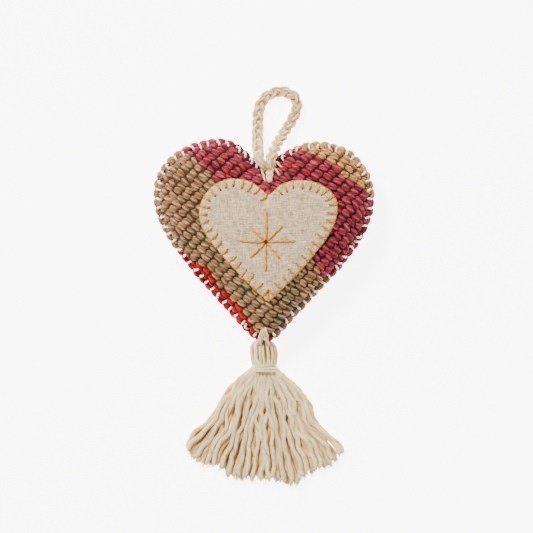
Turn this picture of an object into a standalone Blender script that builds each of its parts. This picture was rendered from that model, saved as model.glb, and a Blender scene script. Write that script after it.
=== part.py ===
"""Embroidered heart ornament: a stuffed heart of striped hand-woven cloth, whipped together round its
rim, with a blanket-stitched felt heart and a sewn star on its front, a braided hanging loop at the
cleft and a yarn tassel at the tip. It lies on its back. Metres, +X to the right, +Y from the tassel
towards the loop, +Z up."""

import math

import bmesh
import bpy
import numpy as np
from mathutils import Vector

MM = 0.001

# Gaps between pieces that touch in the real thing
CLEARANCE = 0.3 * MM

# Woven heart. Heights run up from the tip, widths out from the axis.
TIP_RADIUS = 8.0 * MM
CLEFT_HEIGHT = 80.7 * MM
CLEFT_RADIUS = 3.8 * MM
CLEFT_SLOPE = math.radians(45.0)
LEFT_HALF = dict(lobe_x=21.8 * MM, lobe_y=93.6 * MM, side_x=51.3 * MM, side_y=68.0 * MM,
                 cleft_reach=10.1 * MM, lobe_in=7.0 * MM, lobe_out=9.0 * MM,
                 side_up=19.0 * MM, side_down=16.0 * MM, flank_angle=44.0, flank_reach=48.0 * MM)
RIGHT_HALF = dict(lobe_x=25.3 * MM, lobe_y=91.9 * MM, side_x=50.8 * MM, side_y=66.4 * MM,
                  cleft_reach=8.0 * MM, lobe_in=10.0 * MM, lobe_out=16.0 * MM,
                  side_up=13.3 * MM, side_down=22.0 * MM, flank_angle=42.0, flank_reach=34.0 * MM)
MIDDLE_HEIGHT = 48.0 * MM

# Cushion: the seam lies level, the front domes up from it and the back is flat where it rests
SEAM_HEIGHT = 10.0 * MM
RIM_BELLY = 2.6 * MM
DOME_RISE = 9.4 * MM
DOME_FULL_DISTANCE = 21.0 * MM
DOME_POWER_IN = 2.4
DOME_POWER_OUT = 1.4
SEAM_GROOVE_DEPTH = 2.4 * MM
SEAM_LIP_HEIGHT = 1.5 * MM
SEAM_LIP_INSET = 0.6 * MM

# Whipping round the rim
EDGE_STITCHES = 72
EDGE_THREAD = 1.1 * MM
EDGE_STITCH_REACH = 3.6 * MM
EDGE_THREAD_INSET = 0.35 * MM
RIM_LUMP = 1.1 * MM
RIM_LUMP_FADE = 9.0 * MM

# Felt heart, its cleft a little below that of the woven one
FELT_TIP_X = 1.8 * MM
FELT_CLEFT_DROP = 12.5 * MM
FELT_THICKNESS = 1.2 * MM
FELT_LIFT = 0.6 * MM
FELT_TIP_RADIUS = 2.5 * MM
FELT_CLEFT_HEIGHT = 50.0 * MM
FELT_TIP_Y = CLEFT_HEIGHT - FELT_CLEFT_DROP - FELT_CLEFT_HEIGHT
FELT_CLEFT_RADIUS = 1.5 * MM
FELT_MIDDLE_HEIGHT = 30.0 * MM
FELT_LEFT_HALF = dict(lobe_x=15.7 * MM, lobe_y=57.1 * MM, side_x=32.3 * MM, side_y=40.4 * MM,
                      cleft_reach=5.0 * MM, lobe_in=7.0 * MM, lobe_out=9.0 * MM,
                      side_up=9.0 * MM, side_down=9.0 * MM, flank_angle=46.0, flank_reach=26.0 * MM)
FELT_RIGHT_HALF = dict(lobe_x=14.9 * MM, lobe_y=56.4 * MM, side_x=32.3 * MM, side_y=42.8 * MM,
                       cleft_reach=5.0 * MM, lobe_in=7.0 * MM, lobe_out=9.0 * MM,
                       side_up=8.0 * MM, side_down=10.0 * MM, flank_angle=46.0, flank_reach=26.0 * MM)

# Blanket stitch round the felt
BLANKET_STITCHES = 44
BLANKET_THREAD = 0.6 * MM
BLANKET_REACH = 3.8 * MM

# Star of long stitches, its centre measured from the tip of the felt
STAR_SIDE_SHIFT = 1.1 * MM
STAR_HEIGHT = 27.5 * MM
STAR_CENTRE = (FELT_TIP_X - STAR_SIDE_SHIFT, FELT_TIP_Y + STAR_HEIGHT)
STAR_HUB_RADIUS = 1.6 * MM
STAR_THREAD = 1.3 * MM
STAR_RELIEF = 0.7 * MM
STAR_UP = 15.5 * MM
STAR_SIDE = 13.6 * MM
STAR_DOWN = 13.8 * MM
STAR_DIAGONAL = 10.3 * MM

# Hanging loop: a braid, and the route of its middle, in millimetres from the cleft of the heart
LOOP_DIAMETER = 4.8 * MM
LOOP_SIDES_RESOLUTION = 2
LOOP_SPACING = LOOP_DIAMETER
LOOP_ROUTE = [
    (2.9, 3.0, 8.6), (3.7, 5.4, 7.4), (5.3, 9.6, 3.0), (6.9, 12.6, -0.8), (8.5, 15.2, -3.8),
    (10.2, 18.0, -5.8), (12.0, 21.0, -6.9), (13.8, 24.2, -7.4), (15.0, 27.6, -7.5),
    (14.8, 31.0, -7.5), (12.9, 33.9, -7.5), (9.2, 35.3, -7.5), (5.2, 35.2, -7.5),
    (1.4, 33.4, -7.5), (-1.3, 30.4, -7.5), (-2.7, 26.4, -7.3), (-3.1, 21.4, -6.6),
    (-3.2, 16.6, -4.9), (-3.2, 12.4, -1.7), (-3.1, 9.0, 2.2), (-2.7, 5.2, 7.0), (-2.5, 3.0, 8.4),
]

# Yarn stitches that sew the loop down over the cleft
LOOP_STITCHES = 4
LOOP_STITCH_YARN = 1.5 * MM
LOOP_STITCH_LENGTH = 8.0 * MM
LOOP_STITCH_SPREAD = 1.5
LOOP_STITCH_OVERHANG = 0.4 * MM

# Tassel, measured down from the tip of the heart
TASSEL_STRANDS = 12
TASSEL_TOP_DROP = 1.4 * MM
TASSEL_HEAD_LENGTH = 9.0 * MM
TASSEL_HEAD_WIDTH = 12.6 * MM
TASSEL_HEAD_DEPTH = 11.4 * MM
TASSEL_WAIST_WIDTH = 8.0 * MM
TASSEL_WAIST_DEPTH = 6.8 * MM
TASSEL_BINDING_LENGTH = 3.6 * MM
TASSEL_BINDING_YARN = 1.8 * MM
TASSEL_SKIRT_LENGTH = 53.0 * MM
TASSEL_SIDE_SHORTENING = 15.0 * MM
TASSEL_SKIRT_WIDTH = 78.0 * MM
TASSEL_SHOULDER_WIDTH = 14.0 * MM
TASSEL_END_DEPTH = 4.0 * MM
TASSEL_FLARE = 0.85
TASSEL_SETTLE = 1.5
TASSEL_SPLIT = 0.86
TASSEL_TIP_WIDTHS = (0.8, 0.4)

# Yarns that lie side by side: the gap between two and the depth of the groove, as shares of a yarn
STRAND_GAP = 0.12
STRAND_GROOVE = 0.22
STRAND_EDGE = 0.12

# Yarn that ties the tassel to the tip of the heart
TIE_STRANDS = 4
TIE_WIDTH = 6.6 * MM
TIE_YARN = 1.5 * MM
TIE_REACH = 4.0 * MM

SMOOTH_ANGLE = math.radians(40.0)


def bezier(start, out, back, end, count=24):
    """Points of a cubic curve, without its last one."""
    t = np.linspace(0.0, 1.0, count, endpoint=False)[:, None]
    return ((1 - t) ** 3 * start + 3 * (1 - t) ** 2 * t * out
            + 3 * (1 - t) * t ** 2 * back + t ** 3 * end)


def half_heart(half, cleft_height, cleft_radius, tip_radius):
    """One half of a heart, from the cleft over the lobe and down the flank to the tip."""
    round_cleft = np.linspace(0.0, CLEFT_SLOPE, 8, endpoint=False)
    cleft_arc = np.stack([np.sin(round_cleft), 1.0 - np.cos(round_cleft)], axis=1)
    cleft_arc = cleft_radius * cleft_arc + np.array([0.0, cleft_height])
    out_of_cleft = np.array([math.cos(CLEFT_SLOPE), math.sin(CLEFT_SLOPE)])
    cleft = np.array([0.0, cleft_height + cleft_radius])
    cleft += cleft_radius * np.array([math.sin(CLEFT_SLOPE), -math.cos(CLEFT_SLOPE)])
    lobe = np.array([half["lobe_x"], half["lobe_y"]])
    side = np.array([half["side_x"], half["side_y"]])
    angle = math.radians(half["flank_angle"])
    flank = tip_radius * np.array([math.cos(angle), 1.0 - math.sin(angle)])
    up_flank = np.array([math.sin(angle), math.cos(angle)])
    right = np.array([1.0, 0.0])
    up = np.array([0.0, 1.0])
    parts = [
        cleft_arc,
        bezier(cleft, cleft + half["cleft_reach"] * out_of_cleft, lobe - half["lobe_in"] * right, lobe),
        bezier(lobe, lobe + half["lobe_out"] * right, side + half["side_up"] * up, side),
        bezier(side, side - half["side_down"] * up, flank + half["flank_reach"] * up_flank, flank),
    ]
    turn = np.linspace(-angle, -math.pi / 2, 10, endpoint=False)
    parts.append(np.stack([tip_radius * np.cos(turn), tip_radius * (1 + np.sin(turn))], axis=1))
    return np.vstack(parts)


class Outline:
    """A closed outline, anticlockwise from the tip, that can be read at any length along it."""

    def __init__(self, left, right, cleft_height, cleft_radius, tip_radius, tip=(0.0, 0.0)):
        right_side = half_heart(right, cleft_height, cleft_radius, tip_radius)[::-1]
        left_side = half_heart(left, cleft_height, cleft_radius, tip_radius) * np.array([-1.0, 1.0])
        self.points = np.vstack([[[0.0, 0.0]], right_side, left_side[1:]]) + np.array(tip)
        closed = np.vstack([self.points, self.points[:1]])
        steps = np.linalg.norm(np.diff(closed, axis=0), axis=1)
        self.closed = closed
        self.lengths = np.concatenate([[0.0], np.cumsum(steps)])
        self.total = self.lengths[-1]

    def at(self, length, inset=0.0):
        """The point at a length along the outline, moved inwards by the inset."""
        point = self.read(length)
        if inset:
            probe = 0.8 * MM
            along = self.read(length + probe) - self.read(length - probe)
            along /= np.linalg.norm(along)
            point = point + inset * np.array([-along[1], along[0]])
        return point

    def read(self, length):
        wrapped = length % self.total
        return np.array([np.interp(wrapped, self.lengths, self.closed[:, axis]) for axis in (0, 1)])

    def sample(self, count, offset=0.0, inset=0.0):
        """Evenly spaced points; the inset may be a number or one number for each point."""
        insets = np.broadcast_to(inset, (count,))
        pitch = self.total / count
        return np.array([self.at((i + offset) * pitch, insets[i]) for i in range(count)])


HEART = Outline(LEFT_HALF, RIGHT_HALF, CLEFT_HEIGHT, CLEFT_RADIUS, TIP_RADIUS)
FELT = Outline(FELT_LEFT_HALF, FELT_RIGHT_HALF, FELT_CLEFT_HEIGHT, FELT_CLEFT_RADIUS, FELT_TIP_RADIUS,
               tip=(FELT_TIP_X, FELT_TIP_Y))
HEART_MIDDLE = np.array([0.0, MIDDLE_HEIGHT])
FELT_MIDDLE = np.array([FELT_TIP_X, FELT_TIP_Y + FELT_MIDDLE_HEIGHT])
RIM_SAMPLES = 900
RIM_POINTS = HEART.sample(RIM_SAMPLES)
RIM_STEP = HEART.total / RIM_SAMPLES


def rim_distance(x, y):
    """A smooth distance to the rim: true close to it, and levelling off in the middle."""
    gaps = np.hypot(RIM_POINTS[:, 0] - x, RIM_POINTS[:, 1] - y)
    pull = np.sum(RIM_STEP / np.maximum(gaps, 0.5 * RIM_STEP) ** 3)
    return (0.5 * pull) ** -0.5


def dome_height(x, y):
    """Height of the cushion's skin over the seam, the same to the front and to the back."""
    share = min(rim_distance(x, y) / DOME_FULL_DISTANCE, 1.0)
    full = (1.0 - (1.0 - share) ** DOME_POWER_IN) ** (1.0 / DOME_POWER_OUT)
    return RIM_BELLY + DOME_RISE * full


def front_z(x, y):
    return SEAM_HEIGHT + dome_height(x, y)


def back_z(x, y):
    return max(0.0, SEAM_HEIGHT - dome_height(x, y))


class Shell:
    """Collects the vertices and faces of one closed solid."""

    def __init__(self):
        self.vertices = []
        self.faces = []

    def add(self, points):
        first = len(self.vertices)
        self.vertices.extend(tuple(point) for point in points)
        return list(range(first, len(self.vertices)))

    def bridge(self, lower, upper):
        """Quads between two closed rings with as many points."""
        count = len(lower)
        for i in range(count):
            j = (i + 1) % count
            self.faces.append((lower[i], lower[j], upper[j], upper[i]))

    def thin_out(self, fine, coarse):
        """Faces from a ring to one with half as many points."""
        count = len(coarse)
        for i in range(count):
            j = (i + 1) % count
            left, middle, right = fine[2 * i], fine[2 * i + 1], fine[(2 * i + 2) % len(fine)]
            self.faces.append((left, middle, coarse[i]))
            self.faces.append((middle, coarse[j], coarse[i]))
            self.faces.append((middle, right, coarse[j]))

    def cap(self, ring):
        self.faces.append(tuple(ring))

    def fan(self, ring, middle):
        """Closes a ring with triangles to a point in its middle."""
        tip = self.add([middle])[0]
        for i, corner in enumerate(ring):
            self.faces.append((corner, ring[(i + 1) % len(ring)], tip))

    def build(self, name, color, roughness, metallic=0.0):
        mesh = bpy.data.meshes.new(name)
        mesh.from_pydata(self.vertices, [], self.faces)
        work = bmesh.new()
        work.from_mesh(mesh)
        bmesh.ops.triangulate(work, faces=work.faces[:])
        bmesh.ops.recalc_face_normals(work, faces=work.faces[:])
        work.to_mesh(mesh)
        work.free()
        mesh.shade_smooth()
        mesh.set_sharp_from_angle(angle=SMOOTH_ANGLE)
        piece = bpy.data.objects.new(name, mesh)
        bpy.context.scene.collection.objects.link(piece)
        piece.data.materials.append(finish(name, color, roughness, metallic))
        return piece


def finish(name, color, roughness, metallic=0.0):
    material = bpy.data.materials.new(name)
    material.use_nodes = True
    shader = material.node_tree.nodes["Principled BSDF"]
    shader.inputs["Base Color"].default_value = (*color, 1.0)
    shader.inputs["Roughness"].default_value = roughness
    shader.inputs["Metallic"].default_value = metallic
    return material


def lift(points, height):
    """Points on the plan, raised to what height() gives there."""
    return [(x, y, height(x, y)) for x, y in points]


def shrink(points, middle, share):
    return middle + (points - middle) * (1.0 - share)


# Woven panels
PANEL_RINGS = (0.26, 0.46, 0.74)
RIM_RING_INSET = 4.6 * MM
LUMP_SIDES = 2


def rim_insets():
    """Inset of each rim point: none on a lump, and the valley's depth where a stitch lies."""
    return np.array([RIM_LUMP if i % LUMP_SIDES == 0 else 0.0
                     for i in range(LUMP_SIDES * EDGE_STITCHES)])


def panel_rim(shell, height, side):
    """The rim that both panels share: a groove at the seam, a lip, a belly and the dome's first ring.

    side is 1 for the front and -1 for the back, and height gives the skin's height at a place."""
    insets = rim_insets()
    fine = len(insets)
    groove_level = SEAM_HEIGHT + side * 0.5 * CLEARANCE
    groove_plan = HEART.sample(EDGE_STITCHES, inset=SEAM_GROOVE_DEPTH)
    groove = shell.add([(x, y, groove_level) for x, y in groove_plan])
    rings = []
    for inset, level in ((SEAM_LIP_INSET, SEAM_LIP_HEIGHT), (0.0, RIM_BELLY)):
        plan = HEART.sample(fine, inset=insets + inset)
        rings.append(shell.add([(x, y, SEAM_HEIGHT + side * level) for x, y in plan]))
    fade = 1.0 - RIM_RING_INSET / RIM_LUMP_FADE
    plan = HEART.sample(fine, inset=RIM_RING_INSET + insets * fade)
    rings.append(shell.add(lift(plan, height)))
    shell.cap(groove)
    shell.thin_out(rings[0], groove)
    for lower, upper in zip(rings, rings[1:]):
        shell.bridge(lower, upper)
    return rings[-1]


def dome_ring(share, height):
    """A ring of the dome, a share of the way from the rim to the middle."""
    return lift(shrink(HEART.sample(EDGE_STITCHES), HEART_MIDDLE, share), height)


def make_front():
    shell = Shell()
    rim = panel_rim(shell, front_z, 1.0)
    rings = [shell.add(dome_ring(share, front_z)) for share in PANEL_RINGS]
    shell.thin_out(rim, rings[0])
    for lower, upper in zip(rings, rings[1:]):
        shell.bridge(lower, upper)
    shell.fan(rings[-1], (*HEART_MIDDLE, front_z(*HEART_MIDDLE)))
    return shell.build("woven_front", (0.45, 0.09, 0.1), 0.9)


def flat_share():
    """How far in from the rim, towards the middle, the whole back has come down to the floor."""
    share = PANEL_RINGS[0]
    while share < 0.9:
        ring = shrink(HEART.sample(EDGE_STITCHES), HEART_MIDDLE, share)
        if all(back_z(x, y) <= 0.0 for x, y in ring):
            break
        share += 0.01
    return share


def make_back():
    shell = Shell()
    rim = panel_rim(shell, back_z, -1.0)
    rest = shell.add(dome_ring(flat_share(), back_z))
    shell.thin_out(rim, rest)
    shell.cap(rest)
    return shell.build("woven_back", (0.4, 0.08, 0.09), 0.9)


# Corners of a thread's section: low and high on its outer side, high and low on its inner one
LOW_OUT, HIGH_OUT, HIGH_IN, LOW_IN = range(4)


def comb(name, outline, count, width, ring, arms, place, color, roughness, metallic=0.0):
    """A thread that follows an outline, with stitches that branch off it.

    ring holds the thread's corners as (inset, height), in the order of the names above. Each arm
    grows from one face of the thread, "high", "low" or "inner", by steps of two corners. place turns
    a length along the outline, an inset and a height to a point."""
    shell = Shell()
    pitch = outline.total / count
    starts = {"high": (HIGH_OUT, HIGH_IN), "low": (LOW_OUT, LOW_IN), "inner": (LOW_IN, HIGH_IN)}
    loops = []
    for k in range(count):
        for side in (-0.5, 0.5):
            length = k * pitch + side * width
            loops.append(shell.add([place(length, inset, height) for inset, height in ring]))
    sides = [(LOW_OUT, HIGH_OUT), (HIGH_OUT, HIGH_IN), (HIGH_IN, LOW_IN), (LOW_IN, LOW_OUT)]
    branching = [tuple(sorted(starts[face])) for face, _ in arms]
    for i, loop in enumerate(loops):
        after = loops[(i + 1) % len(loops)]
        for a, b in sides:
            if i % 2 == 0 and tuple(sorted((a, b))) in branching:
                continue
            shell.faces.append((loop[a], loop[b], after[b], after[a]))
    for k in range(count):
        near, far = loops[2 * k], loops[2 * k + 1]
        for face, steps in arms:
            a, b = starts[face]
            base = [near[a], far[a], far[b], near[b]]
            for outer, inner in steps:
                before = k * pitch - 0.5 * width
                after = k * pitch + 0.5 * width
                tip = shell.add([place(before, *outer), place(after, *outer),
                                 place(after, *inner), place(before, *inner)])
                shell.bridge(base, tip)
                base = tip
            shell.cap(base)
    return shell.build(name, color, roughness, metallic)


def make_edge_stitches():
    """The thread lies in the groove of the seam and comes out over the rim in each valley."""
    pitch = HEART.total / EDGE_STITCHES
    valley = RIM_LUMP - RIM_LUMP * EDGE_THREAD / pitch - CLEARANCE
    half = 0.5 * EDGE_THREAD
    ring = [(EDGE_THREAD_INSET, -half), (EDGE_THREAD_INSET, half),
            (EDGE_THREAD_INSET + EDGE_THREAD, half), (EDGE_THREAD_INSET + EDGE_THREAD, -half)]
    reach = EDGE_STITCH_REACH

    def place(length, inset, height):
        x, y = HEART.at(length, inset)
        if inset >= reach:
            skin = front_z(x, y) if height > 0 else SEAM_HEIGHT - dome_height(x, y)
            return (x, y, skin + height)
        return (x, y, SEAM_HEIGHT + height)

    over = [((valley - EDGE_THREAD, RIM_BELLY), (valley, RIM_BELLY)),
            ((reach, CLEARANCE + EDGE_THREAD), (reach, CLEARANCE))]
    under = [((valley - EDGE_THREAD, -RIM_BELLY), (valley, -RIM_BELLY)),
             ((reach, -CLEARANCE - EDGE_THREAD), (reach, -CLEARANCE))]
    return comb("edge_stitches", HEART, EDGE_STITCHES, EDGE_THREAD, ring,
                [("high", over), ("low", under)], place, (0.8, 0.79, 0.74), 0.6)


# Felt
FELT_CORNER_COUNT = 60
FELT_RING = 0.5


def felt_face(shell, lift_by):
    """One face of the felt: its rim, a ring inside it and the middle."""
    def height(x, y):
        return front_z(x, y) + lift_by

    rim = shell.add(lift(FELT.sample(FELT_CORNER_COUNT), height))
    inner_plan = shrink(FELT.sample(FELT_CORNER_COUNT // 2), FELT_MIDDLE, FELT_RING)
    inner = shell.add(lift(inner_plan, height))
    shell.thin_out(rim, inner)
    shell.fan(inner, (*FELT_MIDDLE, height(*FELT_MIDDLE)))
    return rim


def make_felt():
    shell = Shell()
    low = felt_face(shell, FELT_LIFT)
    high = felt_face(shell, FELT_LIFT + FELT_THICKNESS)
    shell.bridge(low, high)
    return shell.build("felt_heart", (0.6, 0.52, 0.4), 0.95)


def make_blanket():
    """The thread lies on the felt's edge, and its stitches run in over the felt."""
    base = FELT_LIFT + FELT_THICKNESS + CLEARANCE
    top = base + BLANKET_THREAD
    half = 0.5 * BLANKET_THREAD
    ring = [(-half, base), (-half, top), (half, top), (half, base)]
    inner = [((BLANKET_REACH, base), (BLANKET_REACH, top))]

    def place(length, inset, height):
        x, y = FELT.at(length, inset)
        return (x, y, front_z(x, y) + height)

    return comb("blanket_stitching", FELT, BLANKET_STITCHES, BLANKET_THREAD, ring,
                [("inner", inner)], place, (0.65, 0.4, 0.1), 0.4, 0.3)


# Star
STAR_REACHES = [STAR_SIDE, STAR_DIAGONAL, STAR_UP, STAR_DIAGONAL,
                STAR_SIDE, STAR_DIAGONAL, STAR_DOWN, STAR_DIAGONAL]
STAR_RAYS = len(STAR_REACHES)
STAR_WAIST = 0.8
STAR_RAY_STEPS = ((0.5, 1.0, 1.0), (1.0, 0.7, 0.55))


def make_star():
    """Eight long stitches from a small hub. A ray's step is how far out, how wide and how high."""
    shell = Shell()
    centre = np.array(STAR_CENTRE)
    base = FELT_LIFT + FELT_THICKNESS + CLEARANCE
    low = []
    high = []
    for ray in range(STAR_RAYS):
        angle = 2 * math.pi * ray / STAR_RAYS
        along = np.array([math.cos(angle), math.sin(angle)])
        across = np.array([-along[1], along[0]]) * 0.5 * STAR_THREAD * STAR_WAIST
        for side in (-1.0, 1.0):
            x, y = centre + along * STAR_HUB_RADIUS + side * across
            low += shell.add([(x, y, front_z(x, y) + base)])
            high += shell.add([(x, y, front_z(x, y) + base + STAR_RELIEF)])
    shell.cap(low)
    shell.cap(high)
    count = 2 * STAR_RAYS
    for i in range(1, count, 2):
        j = (i + 1) % count
        shell.faces.append((low[i], low[j], high[j], high[i]))
    for ray in range(STAR_RAYS):
        angle = 2 * math.pi * ray / STAR_RAYS
        along = np.array([math.cos(angle), math.sin(angle)])
        a, b = 2 * ray, 2 * ray + 1
        base_loop = [low[a], low[b], high[b], high[a]]
        for share, width, relief in STAR_RAY_STEPS:
            reach = STAR_HUB_RADIUS + share * (STAR_REACHES[ray] - STAR_HUB_RADIUS)
            across = np.array([-along[1], along[0]]) * 0.5 * STAR_THREAD * width
            left = centre + along * reach - across
            right = centre + along * reach + across
            tops = base + STAR_RELIEF * relief
            tip = shell.add([(*left, front_z(*left) + base), (*right, front_z(*right) + base),
                             (*right, front_z(*right) + tops), (*left, front_z(*left) + tops)])
            shell.bridge(base_loop, tip)
            base_loop = tip
        shell.cap(base_loop)
    return shell.build("star_embroidery", (0.65, 0.4, 0.1), 0.4, 0.3)


def catmull_rom(points, spacing):
    """A smooth curve through the points, read about every spacing."""
    route = [Vector(point) for point in points]
    route = [2 * route[0] - route[1]] + route + [2 * route[-1] - route[-2]]
    curve = []
    for i in range(1, len(route) - 2):
        before, start, end, after = route[i - 1:i + 3]
        steps = max(1, round((end - start).length / spacing * 4))
        for k in range(steps):
            t = k / steps
            curve.append(0.5 * ((2 * start) + (end - before) * t
                                + (2 * before - 5 * start + 4 * end - after) * t ** 2
                                + (3 * start - before - 3 * end + after) * t ** 3))
    curve.append(route[-2])
    lengths = [0.0]
    for start, end in zip(curve, curve[1:]):
        lengths.append(lengths[-1] + (end - start).length)
    count = max(2, round(lengths[-1] / spacing))
    wanted = [lengths[-1] * k / count for k in range(count + 1)]
    columns = [np.interp(wanted, lengths, [point[axis] for point in curve]) for axis in range(3)]
    return list(zip(*columns))


def make_loop():
    cleft = Vector((0.0, CLEFT_HEIGHT, SEAM_HEIGHT))
    route = [cleft + Vector(point) * MM for point in LOOP_ROUTE]
    data = bpy.data.curves.new("hanging_loop", "CURVE")
    data.dimensions = "3D"
    data.bevel_depth = 0.5 * LOOP_DIAMETER
    data.bevel_resolution = LOOP_SIDES_RESOLUTION
    data.use_fill_caps = True
    points = catmull_rom(route, LOOP_SPACING)
    spline = data.splines.new("POLY")
    spline.points.add(len(points) - 1)
    for point, place in zip(spline.points, points):
        point.co = (*place, 1.0)
    loop = bpy.data.objects.new("hanging_loop", data)
    bpy.context.scene.collection.objects.link(loop)
    data.materials.append(finish("hanging_loop", (0.68, 0.6, 0.45), 0.85))
    return loop


def strand_fan(name, count, stations, tips, section, color, roughness):
    """Strands that lie side by side as one body and part into single tips at its end.

    section(u, t) gives a point's place across, at u from -1 to 1, and along, at t from 0 to 1, as
    (x, y, middle height, half depth). tips are the values of t and the widths of the single ends."""
    shell = Shell()
    half = (1.0 - STRAND_GAP) / count
    middles = [(2 * k + 1) / count - 1.0 for k in range(count)]

    def strand_line(k, t, side, narrow=1.0):
        """The left groove, the crown and the right groove of one strand, on its top or underside."""
        line = []
        for across, groove in ((-half, STRAND_GROOVE), (0.0, 0.0), (half, STRAND_GROOVE)):
            x, y, height, depth = section(middles[k] + across * narrow, t)
            line.append((x, y, height + side * depth * (1.0 - groove) * narrow))
        return line

    tops = []
    bottoms = []
    for t in stations:
        tops.append(shell.add([corner for k in range(count) for corner in strand_line(k, t, 1.0)]))
        bottoms.append(shell.add([corner for k in range(count) for corner in strand_line(k, t, -1.0)]))
    rings = [top + bottom[::-1] for top, bottom in zip(tops, bottoms)]
    for lower, upper in zip(rings, rings[1:]):
        shell.bridge(lower, upper)
    for k in range(3 * count - 1):
        shell.faces.append((tops[0][k], tops[0][k + 1], bottoms[0][k + 1], bottoms[0][k]))
        if k % 3 == 2:
            shell.faces.append((tops[-1][k], tops[-1][k + 1], bottoms[-1][k + 1], bottoms[-1][k]))
    for k in range(count):
        ring = tops[-1][3 * k:3 * k + 3] + bottoms[-1][3 * k:3 * k + 3][::-1]
        for t, narrow in tips:
            top = shell.add(strand_line(k, t, 1.0, narrow))
            bottom = shell.add(strand_line(k, t, -1.0, narrow))
            after = top + bottom[::-1]
            shell.bridge(ring, after)
            ring = after
        shell.faces.append((ring[0], ring[1], ring[4], ring[5]))
        shell.faces.append((ring[1], ring[2], ring[3], ring[4]))
    return shell.build(name, color, roughness)


# Tassel, its body read from the top of its head at 0 to the ends of its middle strands at 1
TASSEL_LENGTH = TASSEL_HEAD_LENGTH + TASSEL_BINDING_LENGTH + TASSEL_SKIRT_LENGTH
TASSEL_HEAD_END = TASSEL_HEAD_LENGTH / TASSEL_LENGTH
TASSEL_WAIST_END = (TASSEL_HEAD_LENGTH + TASSEL_BINDING_LENGTH) / TASSEL_LENGTH


def round_section(u, width, depth):
    """A point of a round bundle: its place across and its half depth there."""
    angle = u * math.pi / 2
    return 0.5 * width * math.sin(angle), 0.5 * depth * max(STRAND_EDGE, math.cos(angle))


def head_swell(share):
    """How full the head is, from its top at 0 to its lower end at 1."""
    start, turn, fullness = 0.12, 0.68, 0.6
    return math.sin(math.pi * (start + turn * share)) ** fullness


def tassel_section(u, t):
    """The tassel's body: a round head, a bound waist and a skirt that fans out flat on the floor."""
    middle = 0.5 * TASSEL_HEAD_DEPTH
    y = -TASSEL_TOP_DROP - t * TASSEL_LENGTH
    if t < TASSEL_HEAD_END:
        swell = head_swell(t / TASSEL_HEAD_END)
        x, half_depth = round_section(u, TASSEL_HEAD_WIDTH * swell, TASSEL_HEAD_DEPTH * swell)
        return x, y, middle, half_depth
    if t <= TASSEL_WAIST_END:
        x, half_depth = round_section(u, TASSEL_WAIST_WIDTH, TASSEL_WAIST_DEPTH)
        return x, y, middle, half_depth
    share = (t - TASSEL_WAIST_END) / (1.0 - TASSEL_WAIST_END)
    width = TASSEL_SHOULDER_WIDTH + (TASSEL_SKIRT_WIDTH - TASSEL_SHOULDER_WIDTH) * share ** TASSEL_FLARE
    start = -TASSEL_TOP_DROP - TASSEL_LENGTH * TASSEL_WAIST_END
    length = TASSEL_SKIRT_LENGTH - TASSEL_SIDE_SHORTENING * u ** 2
    settle = (1.0 - share) ** TASSEL_SETTLE
    depth = TASSEL_END_DEPTH + (TASSEL_HEAD_DEPTH - TASSEL_END_DEPTH) * settle
    side_thinning = 0.7
    half_depth = 0.5 * depth * (1.0 - side_thinning * u ** 2)
    return 0.5 * width * u, start - length * share, half_depth, half_depth


def skirt_station(share):
    return TASSEL_WAIST_END + (1.0 - TASSEL_WAIST_END) * share


def make_tassel():
    stations = [0.0, 0.35 * TASSEL_HEAD_END, 0.75 * TASSEL_HEAD_END, TASSEL_HEAD_END, TASSEL_WAIST_END]
    stations += [skirt_station(share) for share in (0.12, 0.4, TASSEL_SPLIT)]
    tip_start = 0.5 * (TASSEL_SPLIT + 1.0)
    tips = [(skirt_station(tip_start), TASSEL_TIP_WIDTHS[0]), (1.0, TASSEL_TIP_WIDTHS[1])]
    return strand_fan("tassel", TASSEL_STRANDS, stations, tips, tassel_section, (0.72, 0.65, 0.5), 0.9)


BINDING_SIDES = 16
BINDING_GROOVE = 0.6


def make_binding():
    """Two turns of yarn round the waist, side by side."""
    shell = Shell()
    middle_y = -(TASSEL_TOP_DROP + TASSEL_HEAD_LENGTH + 0.5 * TASSEL_BINDING_LENGTH)
    height = 0.5 * TASSEL_HEAD_DEPTH
    half_length = 0.5 * TASSEL_BINDING_LENGTH - CLEARANCE
    section = [(0.0, -half_length), (1.0, -0.5 * half_length), (BINDING_GROOVE, 0.0),
               (1.0, 0.5 * half_length), (0.0, half_length)]
    loops = []
    for k in range(BINDING_SIDES):
        angle = 2 * math.pi * k / BINDING_SIDES
        ring = []
        for share, along in section:
            gap = CLEARANCE + share * TASSEL_BINDING_YARN
            x = (0.5 * TASSEL_WAIST_WIDTH + gap) * math.cos(angle)
            z = (0.5 * TASSEL_WAIST_DEPTH + gap) * math.sin(angle)
            ring.append((x, middle_y + along, height + z))
        loops.append(shell.add(ring))
    for k, loop in enumerate(loops):
        shell.bridge(loop, loops[(k + 1) % BINDING_SIDES])
    return shell.build("tassel_binding", (0.72, 0.65, 0.5), 0.85)


def make_loop_stitches():
    start_y = CLEFT_HEIGHT + LOOP_STITCH_OVERHANG
    half_yarn = 0.5 * LOOP_STITCH_YARN
    half_width = 0.5 * LOOP_STITCHES * LOOP_STITCH_YARN

    def section(u, t):
        spread = 1.0 + (LOOP_STITCH_SPREAD - 1.0) * t
        x = half_width * u * spread
        y = start_y - LOOP_STITCH_LENGTH * t
        height = front_z(x, y) + EDGE_THREAD + 3 * CLEARANCE + half_yarn
        return (x, y, height, half_yarn)

    return strand_fan("loop_stitches", LOOP_STITCHES, [0.0, 0.2, 0.4], [(0.7, 0.95), (1.0, 0.8)],
                      section, (0.75, 0.7, 0.58), 0.85)


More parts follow.
